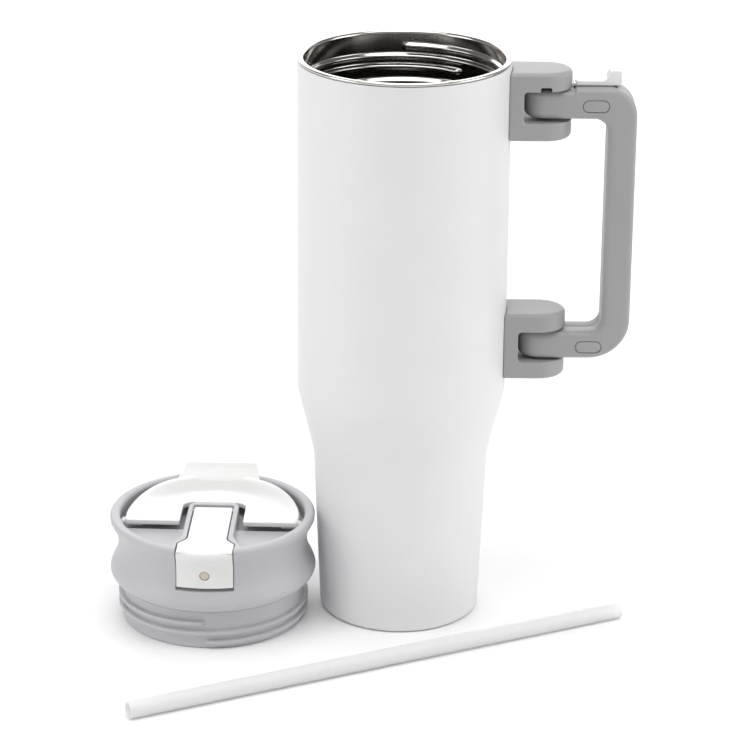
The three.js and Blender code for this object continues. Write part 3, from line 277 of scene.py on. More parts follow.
def ridge(angle, z, low, turns, start, root_half, crest_half):
    """Height, 0 to 1, of a screw ridge that starts at the angle start and height low: 1 on the crest, falling
    smoothly to 0 over the flank, and to 0 over a few degrees at each end."""
    made = np.zeros(np.broadcast(angle, z).shape)
    share = ((angle - start) / (2 * np.pi)) % 1
    for turn in range(math.ceil(turns) + 1):
        t = share + turn
        away = np.abs(z - low - PITCH * t)
        flank = np.clip((root_half - away) / (root_half - crest_half), 0, 1)
        end = np.clip(np.minimum(t, turns - t) / RIDGE_END, 0, 1)
        made = np.maximum(made, eased(flank) * eased(end))
    return made


# ---- Pieces ----
LID_PLACE = Matrix.Translation((LID_X * MM, LID_Y * MM, 0)) @ Matrix.Rotation(LID_TURN, 4, "Z")
IN_PLACE = Matrix.Identity(4)


def mended(mesh):
    """A face with a free edge is taken off if none of its edges joins exactly two faces, since it only hangs on
    the closed skin of the solid or beside it. A slit between three corners is closed."""
    work = bmesh.new()
    work.from_mesh(mesh)
    stray = []
    for face in work.faces:
        joins = [len(edge.link_faces) for edge in face.edges]
        if 1 in joins and 2 not in joins:
            stray.append(face)
    bmesh.ops.delete(work, geom=stray, context="FACES")
    slits = [edge for edge in work.edges if len(edge.link_faces) == 1]
    if slits:
        bmesh.ops.holes_fill(work, edges=slits, sides=3)
    if stray or slits:
        work.to_mesh(mesh)
    work.free()


def mesh_object(name, shape, place=IN_PLACE, sharp=35):
    """An object at the origin whose mesh holds the shape in metres, with doubles merged and faces turned out."""
    points, faces = shape
    mesh = bpy.data.meshes.new(name)
    mesh.from_pydata((points * MM).tolist(), [], faces)
    work = bmesh.new()
    work.from_mesh(mesh)
    bmesh.ops.remove_doubles(work, verts=work.verts, dist=2e-6)
    bmesh.ops.dissolve_degenerate(work, edges=work.edges, dist=1e-6)
    bmesh.ops.delete(work, geom=[edge for edge in work.edges if not edge.link_faces], context="EDGES")
    bmesh.ops.recalc_face_normals(work, faces=work.faces)
    work.to_mesh(mesh)
    work.free()
    mesh.transform(place)
    mesh.shade_smooth()
    mesh.set_sharp_from_angle(angle=math.radians(sharp))
    made = bpy.data.objects.new(name, mesh)
    scene.collection.objects.link(made)
    return made


def settle(piece, sharp=35):
    """The piece's modifiers are worked out and become its mesh."""
    bpy.context.view_layer.update()
    seen = piece.evaluated_get(bpy.context.evaluated_depsgraph_get())
    mesh = bpy.data.meshes.new_from_object(seen)
    piece.modifiers.clear()
    piece.data = mesh
    mesh.shade_smooth()
    mesh.set_sharp_from_angle(angle=math.radians(sharp))
    return piece


def carve(piece, *shapes, place=IN_PLACE, sharp=35, operation="DIFFERENCE"):
    """Each closed shape is cut out of the piece, or with INTERSECT only what lies inside it is kept."""
    for shape in shapes:
        tool = mesh_object(piece.name + "_tool", shape, place)
        change = piece.modifiers.new("cut", "BOOLEAN")
        change.operation, change.solver, change.object = operation, "EXACT", tool
        settle(piece, sharp)
        bpy.data.objects.remove(tool)
    mended(piece.data)
    return piece


def moulded(piece, cell, rounds):
    """The piece is rebuilt on cells of that size in millimetres and then smoothed, which rounds every edge as a
    mould does."""
    change = piece.modifiers.new("cells", "REMESH")
    change.mode, change.voxel_size, change.use_smooth_shade = "VOXEL", cell * MM, True
    change = piece.modifiers.new("ease", "SMOOTH")
    change.factor, change.iterations = 0.5, rounds
    return settle(piece, 60)


def absorb(piece, *others):
    """The other objects' meshes become part of the piece's mesh."""
    work = bmesh.new()
    for one in (piece, *others):
        work.from_mesh(one.data)
    work.to_mesh(piece.data)
    work.free()
    for one in others:
        bpy.data.objects.remove(one)
    return piece


def finished(piece, body, finish, slot, *nodes):
    """The piece gets its material and its body, and the CAD nodes that it stands in for are hidden. The slot argument
    is not used.
    """
    piece.data.materials.clear()
    piece.data.materials.append(finish)
    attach(piece, body)
    if nodes:
        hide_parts(*nodes)
    return piece


# ---- Materials ----

def srgb(code, alpha=1.0):
    """A colour written as six hex digits, in linear light."""
    c = np.array([int(code[i:i + 2], 16) for i in (0, 2, 4)]) / 255
    return (*np.where(c <= 0.04045, c / 12.92, ((c + 0.055) / 1.055) ** 2.4), alpha)


def add_node(tree, kind, inputs=(), **settings):
    """One shader node with its settings; inputs are (socket, value or another node's output)."""
    made = tree.nodes.new(kind)
    for key, value in settings.items():
        setattr(made, key, value)
    for socket, value in dict(inputs).items():
        if isinstance(value, bpy.types.NodeSocket):
            tree.links.new(value, made.inputs[socket])
        else:
            made.inputs[socket].default_value = value
    return made


def new_material(name, **constants):
    """A material with one Principled surface, its constants set on its sockets, and the object's coordinates."""
    made = bpy.data.materials.new(name)
    made.use_nodes = True
    tree = made.node_tree
    tree.nodes.clear()
    surface = add_node(tree, "ShaderNodeBsdfPrincipled", [(k.replace("_", " "), v) for k, v in constants.items()])
    out = add_node(tree, "ShaderNodeOutputMaterial")
    tree.links.new(surface.outputs["BSDF"], out.inputs["Surface"])
    where = add_node(tree, "ShaderNodeTexCoord").outputs["Object"]
    return made, tree, surface, where


PATCH_SCALE = 55.0  # soft patches about 18 mm across


def grained(name, pale, dark, grain, bump, roughness, spread, stretch=(1, 1, 1), **constants):
    """A surface with two close colours mixed by soft patches, roughness that wanders a little, and a fine grain
    (its size in millimetres) raised by bump millimetres."""
    made, tree, surface, where = new_material(name, **constants)
    patches = add_node(tree, "ShaderNodeTexNoise", [("Vector", where), ("Scale", PATCH_SCALE), ("Detail", 3.0)])
    colour = add_node(tree, "ShaderNodeMix",
                      [("Factor", patches.outputs["Fac"]), ("A", srgb(dark)), ("B", srgb(pale))], data_type="RGBA")
    tree.links.new(colour.outputs[2], surface.inputs["Base Color"])
    rough = add_node(tree, "ShaderNodeMapRange",
                     [("Value", patches.outputs["Fac"]), ("From Min", 0.3), ("From Max", 0.7),
                      ("To Min", roughness - spread), ("To Max", roughness + spread)])
    tree.links.new(rough.outputs["Result"], surface.inputs["Roughness"])
    scaled = add_node(tree, "ShaderNodeMapping", [("Vector", where), ("Scale", stretch)])
    fine = add_node(tree, "ShaderNodeTexNoise",
                    [("Vector", scaled.outputs["Vector"]), ("Scale", 1 / (grain * MM)), ("Detail", 2.0)])
    raised = add_node(tree, "ShaderNodeBump",
                      [("Height", fine.outputs["Fac"]), ("Distance", bump * MM), ("Strength", 1.0)])
    tree.links.new(raised.outputs["Normal"], surface.inputs["Normal"])
    return made


# Polyester powder coat, cured in an oven: satin, with a faint orange peel.
POWDER_COAT = grained("satin_powder_coat", "ebebec", "e7e7e8", 0.9, 0.012, 0.42, 0.03, IOR=1.5)
# Stainless steel, spun and electropolished: a mirror blurred round the cup by fine turning marks.
CUP_STEEL = grained("polished_stainless_steel", "d2cfcc", "cac7c4", 0.5, 0.0002, 0.12, 0.02,
                    stretch=(0.05, 0.05, 1.0), Metallic=1.0)
# Stainless steel, plain: screws, pins and clips.
PLAIN_STEEL = grained("turned_stainless_steel", "c6c3bf", "b4b1ad", 0.3, 0.004, 0.3, 0.05, Metallic=1.0)
# Polypropylene in a spark-eroded mould: matt, with a fine even grain.
GREY_PP = grained("grey_spark_eroded_polypropylene", "a5a5a5", "a0a0a0", 0.4, 0.012, 0.44, 0.04, IOR=1.49)
# Polypropylene in a finely blasted mould: satin.
LID_PP = grained("pale_grey_polypropylene", "c3c3c6", "bdbdc1", 0.4, 0.008, 0.44, 0.04, IOR=1.49)
# Copolyester in a polished mould: smooth, with a soft gloss.
WHITE_TRITAN = grained("white_copolyester", "eeeeed", "eaeae9", 1.6, 0.003, 0.24, 0.03, IOR=1.56,
                       Coat_Weight=0.15, Coat_Roughness=0.12)
# Silicone rubber, moulded and uncoated: dull.
SILICONE = grained("grey_silicone_rubber", "c9c9cc", "c2c2c6", 0.5, 0.006, 0.62, 0.05, IOR=1.41)
# Acetal, natural: waxy and slightly warm.
ACETAL = grained("natural_acetal", "d9d2c4", "cfc7b8", 0.5, 0.006, 0.38, 0.04, IOR=1.48)
# Getter metal, sintered: dark and rough.
GETTER = grained("sintered_getter_metal", "5c5753", "4a4642", 0.25, 0.03, 0.6, 0.08, Metallic=1.0)
# Solder glass, fused into a bead.
SOLDER_GLASS = grained("fused_solder_glass", "6f7d6f", "5f6d60", 0.8, 0.004, 0.16, 0.03, IOR=1.6)
# Polypropylene, extruded without pigment: milky, letting most light through.
STRAW_PP = grained("milky_extruded_polypropylene", "fbfbfb", "f7f7f7", 0.8, 0.002, 0.3, 0.03,
                   IOR=1.49, Alpha=0.6)


# ---- Tumbler ----

def coated_shell():
    """The coated wall turned round Z: up outside from the standing ring over the step to the lip, and down inside
    at the wall's thickness, with the ends of the step eased by arcs."""
    top, wall_r, ring_r = HEIGHT - 1.5, TOP_R - COAT_WALL, BASE_PLATE_R + 0.3
    wall = rounded_corners([
        (ring_r, 0, 0.3), (BASE_R, 0, BASE_FILLET), (STEP_R, FOOT_H, STEP_FILLET), (TOP_R, STEP_TOP_Z, STEP_FILLET),
        (TOP_R, top, 0.3), (wall_r, top, 0.2), (wall_r, STEP_TOP_Z, STEP_FILLET),
        (STEP_R - COAT_WALL, FOOT_H, STEP_FILLET), (BASE_R - COAT_WALL, BASE_PLATE_T, BASE_FILLET),
        (ring_r, BASE_PLATE_T, 0.3)], 10)
    return turned(dense(wall, 4.0), 256)


def steel_cup():
    """The cup's wall: the lip, the mouth, the straight bore, the step and the rounded floor, and the same line
    back outside it. A screw ridge stands in from the mouth."""
    mouth_r = TOP_R - LIP_WIDTH
    bore_r, foot_r, floor_r = TOP_R - CUP_INSET, STEP_R - CUP_INSET, BASE_R - CUP_INSET
    ledge_z = HEIGHT - MOUTH_DEPTH
    shoulder_z, ledge_round = ledge_z + 1.6, 0.9
    inside = [(TOP_R, HEIGHT - LIP_T, 0.25), (TOP_R, HEIGHT, 1.1), (mouth_r, HEIGHT, 1.3),
              (mouth_r, shoulder_z, ledge_round), (bore_r, ledge_z, ledge_round), (bore_r, STEP_TOP_Z, STEP_FILLET),
              (foot_r, FOOT_H, STEP_FILLET), (floor_r, CUP_FLOOR_Z, CUP_FLOOR_FILLET), (0, CUP_FLOOR_Z, 0)]
    # The way back keeps the lip's own underside, so it starts from the shoulder.
    outside = [(r + STEEL_WALL, z, fillet) for r, z, fillet in inside[3:7]]
    underside = CUP_FLOOR_Z - STEEL_WALL
    profile = rounded_corners(inside + [(0, underside, 0), (floor_r + STEEL_WALL, underside, CUP_FLOOR_FILLET)]
                              + outside[::-1] + [(mouth_r + STEEL_WALL, HEIGHT - LIP_T, 0)], 8)
    first, last = np.flatnonzero(np.abs(profile[:, 0] - mouth_r) < 1e-6)[[0, -1]]
    line = np.concatenate([profile[:first], dense(profile[first:last + 1], 0.22, closed=False),
                           dense(profile[last + 1:], 5.0, closed=False)])
    low = HEIGHT - MOUTH_THREAD_DROP - PITCH * MOUTH_TURNS
    start = np.pi / 2 - 2 * np.pi * MOUTH_TURNS

    def wave(angle, r, z):
        on_mouth = np.abs(r - mouth_r) < 1e-6
        return -THREAD_DEPTH * ridge(angle, z, low, MOUTH_TURNS, start, 1.9, 0.35) * on_mouth

    return turned(line, 288, wave)


def foot_disc():
    """The bottom disc turned round Z: its rim flush with the standing ring, its middle 0.35 mm higher."""
    dish_z = 0.35
    ring = rounded_corners([(0, dish_z, 0), (BASE_PLATE_R - 3, dish_z, 1.0), (BASE_PLATE_R - 1.5, 0, 0.5),
                            (BASE_PLATE_R, 0, 0.4), (BASE_PLATE_R, BASE_PLATE_T, 0.3), (0, BASE_PLATE_T, 0)], 4)
    return turned(ring, 160)


finished(mesh_object("coated_shell", coated_shell()), "tumbler", POWDER_COAT, "powder_coat", "outer_shell")
finished(mesh_object("steel_cup", steel_cup(), sharp=60), "tumbler", CUP_STEEL, "bare_steel", "inner_liner")
finished(mesh_object("foot_disc", foot_disc()), "tumbler", POWDER_COAT, "powder_coat", "base_plate")


# ---- Brackets ----

def clevis(middle, notched):
    """A block with a round end, hollowed behind to the tumbler's radius, with a slot across it. The upper one has
    a notch in the slot's roof for the lock, at the middle and a quarter turn to each side."""
    half_h = SLOT_H / 2 + BRACKET_ARM_H
    t = np.linspace(-np.pi / 2, np.pi / 2, 40)
    end = np.stack([HINGE_X + BRACKET_END_R * np.cos(t), BRACKET_END_R * np.sin(t)], -1)
    back_x = TOP_R - 6
    outline = dense(np.concatenate([[[back_x, -BRACKET_END_R]], end, [[back_x, BRACKET_END_R]]]), 3.0)
    low, high = middle - half_h, middle + half_h
    made = mesh_object("block", plate(outline, low, high, BRACKET_EDGE, BRACKET_EDGE, 7))
    slot_low, slot_high, slot_end = middle - SLOT_H / 2, middle + SLOT_H / 2, HINGE_X + 30
    slot = rounded_corners([(SLOT_X, slot_low, SLOT_CORNER), (slot_end, slot_low, 0), (slot_end, slot_high, 0),
                            (SLOT_X, slot_high, SLOT_CORNER)])
    cap_seat = rectangle(0, PIN_CAP_R + 0.3, low - 5, low + PIN_CAP_T + 0.3)
    tools = [turned(rectangle(0, TOP_R + 0.12, low - 9, high + 9), 128),
             stand_y(plate(slot, -FAR / 2, FAR / 2, 0, 0)), moved(turned(cap_seat, 48), (HINGE_X, 0, 0))]
    if notched:
        for turn in (-90, 0, 90):
            c, s = math.cos(math.radians(turn)), math.sin(math.radians(turn))
            corners = rectangle(5.0, 14.0, -NOTCH_W / 2, NOTCH_W / 2) @ np.array([(c, s), (-s, c)])
            tools.append(plate(corners + (HINGE_X, 0), slot_high - 2, slot_high + NOTCH_H, 0, 0))
    carve(made, *tools)
    return moulded(made, 0.33, 5)


for label in ("upper", "lower"):
    z_low = node_box(label + "_bracket")[0][2]
    block = clevis(z_low + SLOT_H / 2 + BRACKET_ARM_H, label == "upper")
    block.name = label + "_clevis"
    finished(block, "tumbler", GREY_PP, "grey_plastic", label + "_bracket")
    cap_top = z_low + PIN_CAP_T
    cap = rounded_corners([(0, z_low + 0.15, 0), (2.6, z_low, 0.6), (PIN_CAP_R, z_low, 0.5), (PIN_CAP_R, cap_top, 0.2),
                           (0, cap_top, 0)], 4)
    disc = mesh_object(label + "_clevis_cap", moved(turned(cap, 64), (HINGE_X, 0, 0)))
    finished(disc, "tumbler", GREY_PP, "grey_plastic", label + "_pin_cap")


# ---- Handle ----

def straight(start, end, count):
    """Evenly spaced points from one point to another."""
    return np.array(start) + (np.array(end) - start) * np.linspace(0, 1, count)[:, None]


def arc(middle, radius, first, last, count):
    """Points on a circle from one angle to another."""
    t = np.linspace(first, last, count)
    return np.array(middle) + radius * np.stack([np.cos(t), np.sin(t)], -1)


def handle_line(lower_z, upper_z, grip_x, low_r, top_r):
    """One edge of the handle in X and Z: out along the lower arm, round the corner, up the grip, round the upper
    corner and back along the upper arm to the hinge."""
    quarter = np.pi / 2
    return np.concatenate([
        straight((HINGE_X, lower_z), (grip_x - low_r, lower_z), 16),
        arc((grip_x - low_r, lower_z + low_r), low_r, -quarter, 0, 22)[1:],
        straight((grip_x, lower_z + low_r), (grip_x, upper_z - top_r), 50)[1:],
        arc((grip_x - top_r, upper_z - top_r), top_r, 0, quarter, 22)[1:],
        straight((grip_x - top_r, upper_z), (HINGE_X, upper_z), 60)[1:]])


def handle_lines():
    """The handle's inner and outer edges, point for point. The outer one steps down to the tongue's height where
    the upper arm runs into the bracket."""
    inner = handle_line(LOWER_TOP, UPPER_BOTTOM, GRIP_IN_X, 6.2, 6.2)
    outer = handle_line(LOWER_BOTTOM, ARM_TOP, GRIP_OUT_X, 19.0, 13.3)
    near = np.clip((outer[:, 0] - RAISED_X + 0.3) / 1.2, 0, 1)
    upper = outer[:, 1] > UPPER_TOP
    outer[upper, 1] -= ((ARM_TOP - UPPER_TOP) * (1 - eased(near)))[upper]
    return inner, outer


def handle_half(side):
    """Half of the handle, from its front or back face to the parting line. Each ring goes from the inner line to
    the outer line with rounded edges. The ring at each hinge is then turned a quarter about the hinge axis."""
    parting, edge_in, edge_out = 0.1, 3.4, 2.6
    depth = HANDLE_HALF_DEPTH
    t = np.linspace(0, np.pi / 2, 9)
    flat = np.linspace(0, 1, 5)[1:-1]
    # Each ring point is (share of the thickness, added millimetres, distance from the middle plane).
    ring = np.concatenate([
        [(0, 0.3, parting), (0, 0.08, parting + 0.08), (0, 0, parting + 0.3)],
        np.stack([0 * t, edge_in * (1 - np.cos(t)), depth - edge_in * (1 - np.sin(t))], -1),
        np.stack([flat, edge_in * (1 - flat) - edge_out * flat, depth + 0 * flat], -1),
        np.stack([0 * t + 1, -edge_out * (1 - np.sin(t)), depth - edge_out * (1 - np.cos(t))], -1),
        [(1, 0, parting + 0.3), (1, -0.08, parting + 0.08), (1, -0.3, parting)]])
    inner, outer = handle_lines()
    thick = np.linalg.norm(outer - inner, axis=1)[:, None]
    share = ring[None, :, 0] + ring[None, :, 1] / thick
    at = inner[:, None] + (outer - inner)[:, None] * share[..., None]
    out = np.broadcast_to(ring[:, 2], share.shape)
    body = np.stack([at[..., 0], side * out, at[..., 1]], -1)

    def quarter(end):
        a = np.linspace(0, np.pi / 2, 14)[1:, None]
        reach = np.maximum(ring[:, 2], parting)
        y = np.maximum(reach * np.cos(a), parting)
        return np.stack([HINGE_X - reach * np.sin(a), side * y, 0 * a + body[end, :, 2]], -1)

    return loft(np.concatenate([quarter(0)[::-1], body, quarter(-1)]))


plug_z = {name: sum(v[2] for v in node_box(name + "_oval_plug")) / 2 for name in ("upper", "lower")}


def oval(z, grow, near, far, round_near=0.0):
    """An oval bar along Y on the plugs' line."""
    outline = stadium(PLUG_L + 2 * grow, PLUG_H + 2 * grow) + (PLUG_X, z)
    return stand_y(plate(outline, near, far, round_near, 0))


front_y = -HANDLE_HALF_DEPTH
trough = rectangle(RAISED_X - 0.1, lock_low[0] + 20.3, -3.6, 3.6)
trough_box = plate(trough, ARM_TOP - 3.6, ARM_TOP + 3, 0, 0)
bush_hole = moved(turned(rectangle(0, 4.5, 100, 280), 48), (HINGE_X, 0, 0))
plug_seats = [oval(z, PLUG_GAP, front_y - 2, front_y + PLUG_T + 0.2) for z in plug_z.values()]
front_half = mesh_object("handle_front_half", handle_half(-1))
carve(front_half, *plug_seats, trough_box, bush_hole)
finished(front_half, "handle", GREY_PP, "grey_plastic", "handle_front_shell")
rear_half = mesh_object("handle_rear_half", handle_half(1))
carve(rear_half, trough_box, bush_hole)
finished(rear_half, "handle", GREY_PP, "grey_plastic", "handle_rear_shell")
for label in ("upper", "lower"):
    plug = mesh_object(label + "_plug_cover", oval(plug_z[label], 0, front_y, front_y + PLUG_T, 0.35))
    finished(plug, "handle", GREY_PP, "grey_plastic", label + "_oval_plug")

# ---- Lock slide ----

def thumb_slide():
    """A flat cap with a ramp up to a thumb lip at its outer end, a foot below it and a tooth at its inner end."""
    start, end, lip = lock_low[0] + 1.2, lock_high[0], lock_high[2]
    cap_low = ARM_TOP + 0.35
    cap_high = cap_low + 2.4
    side = rounded_corners([(start, cap_low, 0.3), (end, cap_low, 0.5), (end, lip, 1.6), (end - 5, lip, 1.6),
                            (end - 7.5, cap_high, 3.0), (start, cap_high, 0.8)], 8)
    cap = stand_y(plate(dense(side, 1.0), -4.4, 4.4, 0.7, 0.7))
    foot = plate(rectangle(start + 2.5, end - 4, -3.2, 3.2), lock_low[2], cap_low + 0.5, 0, 0)
    tooth_low = UPPER_TOP + 0.9
    tooth = plate(rectangle(lock_low[0], start + 1, -2.2, 2.2), tooth_low, tooth_low + 1.5, 0.2, 0.2)
    return joined(cap, foot, tooth)


slide = moulded(mesh_object("thumb_slide", thumb_slide()), 0.22, 3)
finished(slide, "lock", WHITE_TRITAN, "white_plastic", "lock_slider")

# ---- Lid ----
# Radius of the lid's side, and its share of the height from the neck to the rim.
SIDE_SHARES = [(NECK_R + 3.6, 0.002), (FLANGE_R - 0.4, 0.06), (FLANGE_R, 0.14), (FLANGE_R - 1.2, 0.264),
               (WAIST_R + 1, 0.402), (WAIST_R, 0.591), (WAIST_R + 0.8, 0.811), (RIM_R - 1.0, 0.93), (RIM_R, 1.0)]


def lid_side(count=70):
    """The lid's outside from the flange to the rim: a Catmull-Rom curve through a bulge, a waist and a flare."""
    height = LID_H - RIM_ROUND - NECK_H
    knots = np.array([(r, NECK_H + height * share) for r, share in SIDE_SHARES])
    padded = np.concatenate([2 * knots[:1] - knots[1:2], knots, 2 * knots[-1:] - knots[-2:-1]])
    t = np.linspace(0, len(knots) - 1 - 1e-9, count)
    i = t.astype(int)
    f = (t - i)[:, None]
    p0, p1, p2, p3 = (padded[i + k] for k in range(4))
    return 0.5 * (2 * p1 + (p2 - p0) * f + (2 * p0 - 5 * p1 + 4 * p2 - p3) * f ** 2
                  + (3 * p1 - p0 - 3 * p2 + p3) * f ** 3)


def side_radius(z):
    """Radius of the lid's outside at a height."""
    line = lid_side()
    return np.interp(z, line[:, 1], line[:, 0])


def lid_wall():
    """The lid as one turned wall: neck with its screw ridge, gasket groove, side, rim, recess and underside."""
    neck = rounded_corners([(NECK_BORE_R, 0, 0.6), (NECK_R, 0, 1.0), (NECK_R, GROOVE_LOW, 0),
                            (NECK_BORE_R, GROOVE_LOW, 0)], 4)
    neck_side = np.stack([np.full(90, NECK_R), np.linspace(1.0, GROOVE_LOW, 90)], -1)
    groove = np.array([(GROOVE_R, GROOVE_LOW), (GROOVE_R, NECK_H)])
    underside = LID_FLOOR_Z - LID_FLOOR_T
    rim = rounded_corners([(RIM_R, LID_H - RIM_ROUND, 0), (RIM_R + 0.2, LID_H - 0.3, 2.9),
                           (RIM_BORE_R - 1.2, LID_H, 1.7), (RIM_BORE_R - 0.6, LID_FLOOR_Z, 1.5),
                           (0, LID_FLOOR_Z, 0), (0, underside, 0), (NECK_BORE_R, underside, 2.0),
                           (NECK_BORE_R, 0.6, 0)], 6)[1:]
    line = np.concatenate([neck[neck[:, 1] < 0.99], neck_side, groove, lid_side(), dense(rim, 6.0, closed=False)])

    def wave(angle, r, z):
        on_neck = (np.abs(r - NECK_R) < 1e-6) & (z < GROOVE_LOW)
        return 1.2 * THREAD_DEPTH * on_neck * ridge(angle, z, LID_THREAD_Z, LID_TURNS, -np.pi / 2, 1.15, 0.8)

    return turned(line, 288, wave)


def flap_half(y):
    """Half the straw flap's width: the tongue's, widening to the head's as the square of the way across."""
    share = np.clip((HEAD_BACK_Y + 6.5 - y) / 7.5, 0, 1)
    return TONGUE_W / 2 + (HEAD_W - TONGUE_W) / 2 * share * share


def trough_tools():
    """The space for the straw flap: the trough for its tongue and head, and the pocket in the front."""
    low, top = TONGUE_Z - TONGUE_T / 2 - 0.8, LID_H + 6
    y = np.concatenate([[-FAR], np.linspace(-40, -26, 24), [FLAP_AXIS_Y + 1.8]])
    right = np.stack([flap_half(y) + FLAP_GAP, y], -1)
    turn = np.linspace(0, np.pi / 2, 6)[1:, None]
    corner_r = 1.2
    end = np.concatenate([np.cos(turn), np.sin(turn)], -1) * corner_r + (right[-1] - (corner_r, 0))
    right = np.concatenate([right, end])
    outline = np.concatenate([right, right[::-1] * (-1, 1)])
    half = HEAD_W / 2 + FLAP_GAP
    pocket = rectangle(-half, half, -FAR, HEAD_INNER_Y + 0.4)
    return [plate(outline, low, top, 0, 0), plate(pocket, HEAD_BOTTOM_Z - 1.9, top, 0, 0)]


def lid_spine():
    """The raised spine under the straw flap, widening where it meets the rim."""
    half, front, waist_y = SPINE_W / 2, -RIM_BORE_R + 3.5, HEAD_BACK_Y + 8
    outline = rounded_corners([(-half - 5, front, 0), (half + 5, front, 0), (half, waist_y, 10.0),
                               (half, SPINE_END_Y, 4.5), (-half, SPINE_END_Y, 4.5), (-half, waist_y, 10.0)], 8)
    return plate(dense(outline, 2.0), LID_FLOOR_Z - 0.6, LID_H - 1, 0, 0.5)


def recess_shelf():
    """The shallow floor in front of the drinking cover, on each side of the spine: a plate between the spine, the
    rim's bore and a straight back edge."""
    back, spine, reach = COVER_FRONT_Y - 1.0, SPINE_W / 2 - 0.6, RIM_BORE_R + 0.2
    a = np.linspace(math.atan2(back, reach), -math.acos((spine + 4) / reach), 40)
    bore = np.stack([reach * np.cos(a), reach * np.sin(a)], -1)
    right = np.concatenate([bore, [(spine, -RIM_BORE_R + 4), (spine, back)]])[::-1]
    left = right[::-1] * (-1, 1)
    low, high = LID_FLOOR_Z - 0.5, LID_H - 6.2
    return joined(plate(right, low, high, 0, 0.4), plate(left, low, high, 0, 0.4))


spout_line = stadium(SPOUT_L, SPOUT_W) + (0, SPOUT_Y)
port_line = circle(STRAW_PORT_R) + (0, STRAW_PORT_Y)
port_hole, spout_hole = (plate(line, 30, LID_H + 4, 0, 0) for line in (port_line, spout_line))
lid_piece = mesh_object("lid_moulding", lid_wall(), LID_PLACE, 40)
carve(lid_piece, *trough_tools(), port_hole, spout_hole, place=LID_PLACE, sharp=40)
finished(lid_piece, "lid", LID_PP, "lid_plastic", "lid_body")
spine_piece = mesh_object("lid_spine", lid_spine(), LID_PLACE)
carve(spine_piece, *trough_tools(), port_hole, place=LID_PLACE)
finished(moulded(spine_piece, 0.3, 3), "lid", LID_PP, "lid_plastic")
finished(mesh_object("recess_shelf", recess_shelf(), LID_PLACE), "lid", LID_PP, "lid_plastic")
tubes = joined(tube(spout_line, TUBE_WALL, TUBE_LOW, LID_FLOOR_Z + 3.8),
               tube(port_line, TUBE_WALL, TUBE_LOW, LID_FLOOR_Z - 1))
finished(mesh_object("spout_and_port", tubes, LID_PLACE), "lid", LID_PP, "lid_plastic")

# The gasket stands out as two lips with a hollow between them.
back_r, face_r, lip_r, hollow_r = NECK_R - 1.4, NECK_R + 0.6, NECK_R + 1.6, NECK_R + 0.9
z_low, z_high = gasket_low[2], gasket_high[2]
gasket_line = rounded_corners([(back_r, z_low, 0.4), (face_r, z_low, 0.5), (lip_r, z_low + 0.5, 0.5),
                               (hollow_r, (z_low + z_high) / 2, 0.5), (lip_r, z_high - 0.5, 0.5),
                               (face_r, z_high, 0.5), (back_r, z_high, 0.4)], 5)
finished(mesh_object("neck_gasket", turned(gasket_line, 224), LID_PLACE), "lid", SILICONE, "silicone", "lid_gasket")

# The plate in the neck is dished 0.4 mm round its middle.
edge_r, plate_low, plate_high, dish_z = NECK_BORE_R - 0.3, 2, 4, 2.4
plate_line = rounded_corners([(0, plate_low, 0), (24, plate_low, 6), (27, dish_z, 4), (36, dish_z, 1),
                              (edge_r, plate_low, 0.5), (edge_r, plate_high, 0.4), (0, plate_high, 0)], 4)
neck_plate = mesh_object("neck_plate", turned(plate_line, 160), LID_PLACE)
carve(neck_plate, *(plate(line, -2, 8, 0, 0) for line in (port_line, spout_line)), place=LID_PLACE)
finished(neck_plate, "lid", LID_PP, "lid_plastic", "lid_underplate")

# ---- Drinking cover ----

def cover_height(x, y):
    """The cover's upper face: a flat dish, and outside it a shoulder that rises towards the back."""
    radius = np.hypot(x, y)
    backward = eased(np.clip((y / np.maximum(radius, 1e-6) - 0.15) / 0.75, 0, 1))
    shoulder = eased(np.clip((radius - (COVER_R - 15.5)) / 14.5, 0, 1))
    return COVER_TOP_Z + COVER_RISE * shoulder * backward


def cover_disc():
    """A disc whose two faces follow cover_height, its upper edge drawn down by 0.8 mm."""
    edge = 0.8
    t = np.linspace(0, 2 * np.pi, 160, endpoint=False)[None, :]
    radius = np.concatenate([np.linspace(0.5, COVER_R - edge, 40), [COVER_R]])[:, None]
    x, y = radius * np.cos(t), radius * np.sin(t)
    top = cover_height(x, y)
    low = top - COVER_T
    top[-1] -= edge
    return loft(np.concatenate([np.stack([x, y, top], -1), np.stack([x, y, low], -1)[::-1]]))


def cover_tab():
    """The thumb tab: a side view carried across, from the cover's back edge up over the rim."""
    root_y, back_z, over_rim = COVER_R - 6, COVER_TOP_Z + COVER_RISE, LID_H + 0.4
    tip_y, tip_z = RIM_R + TAB_REACH, node_box("flip_cover")[1][2]
    side = rounded_corners([(root_y, back_z - COVER_T, 0), (39.0, over_rim - 0.2, 0.5),
                            (RIM_R + 0.2, over_rim + 0.1, 1.5), (tip_y, tip_z - 2.4, 1.0), (tip_y, tip_z, 1.0),
                            (RIM_R - 3, tip_z - 1.2, 6), (root_y, back_z - 0.4, 0)], 6)
    return stand_x(plate(side, -TAB_W / 2, TAB_W / 2, 0, 0))


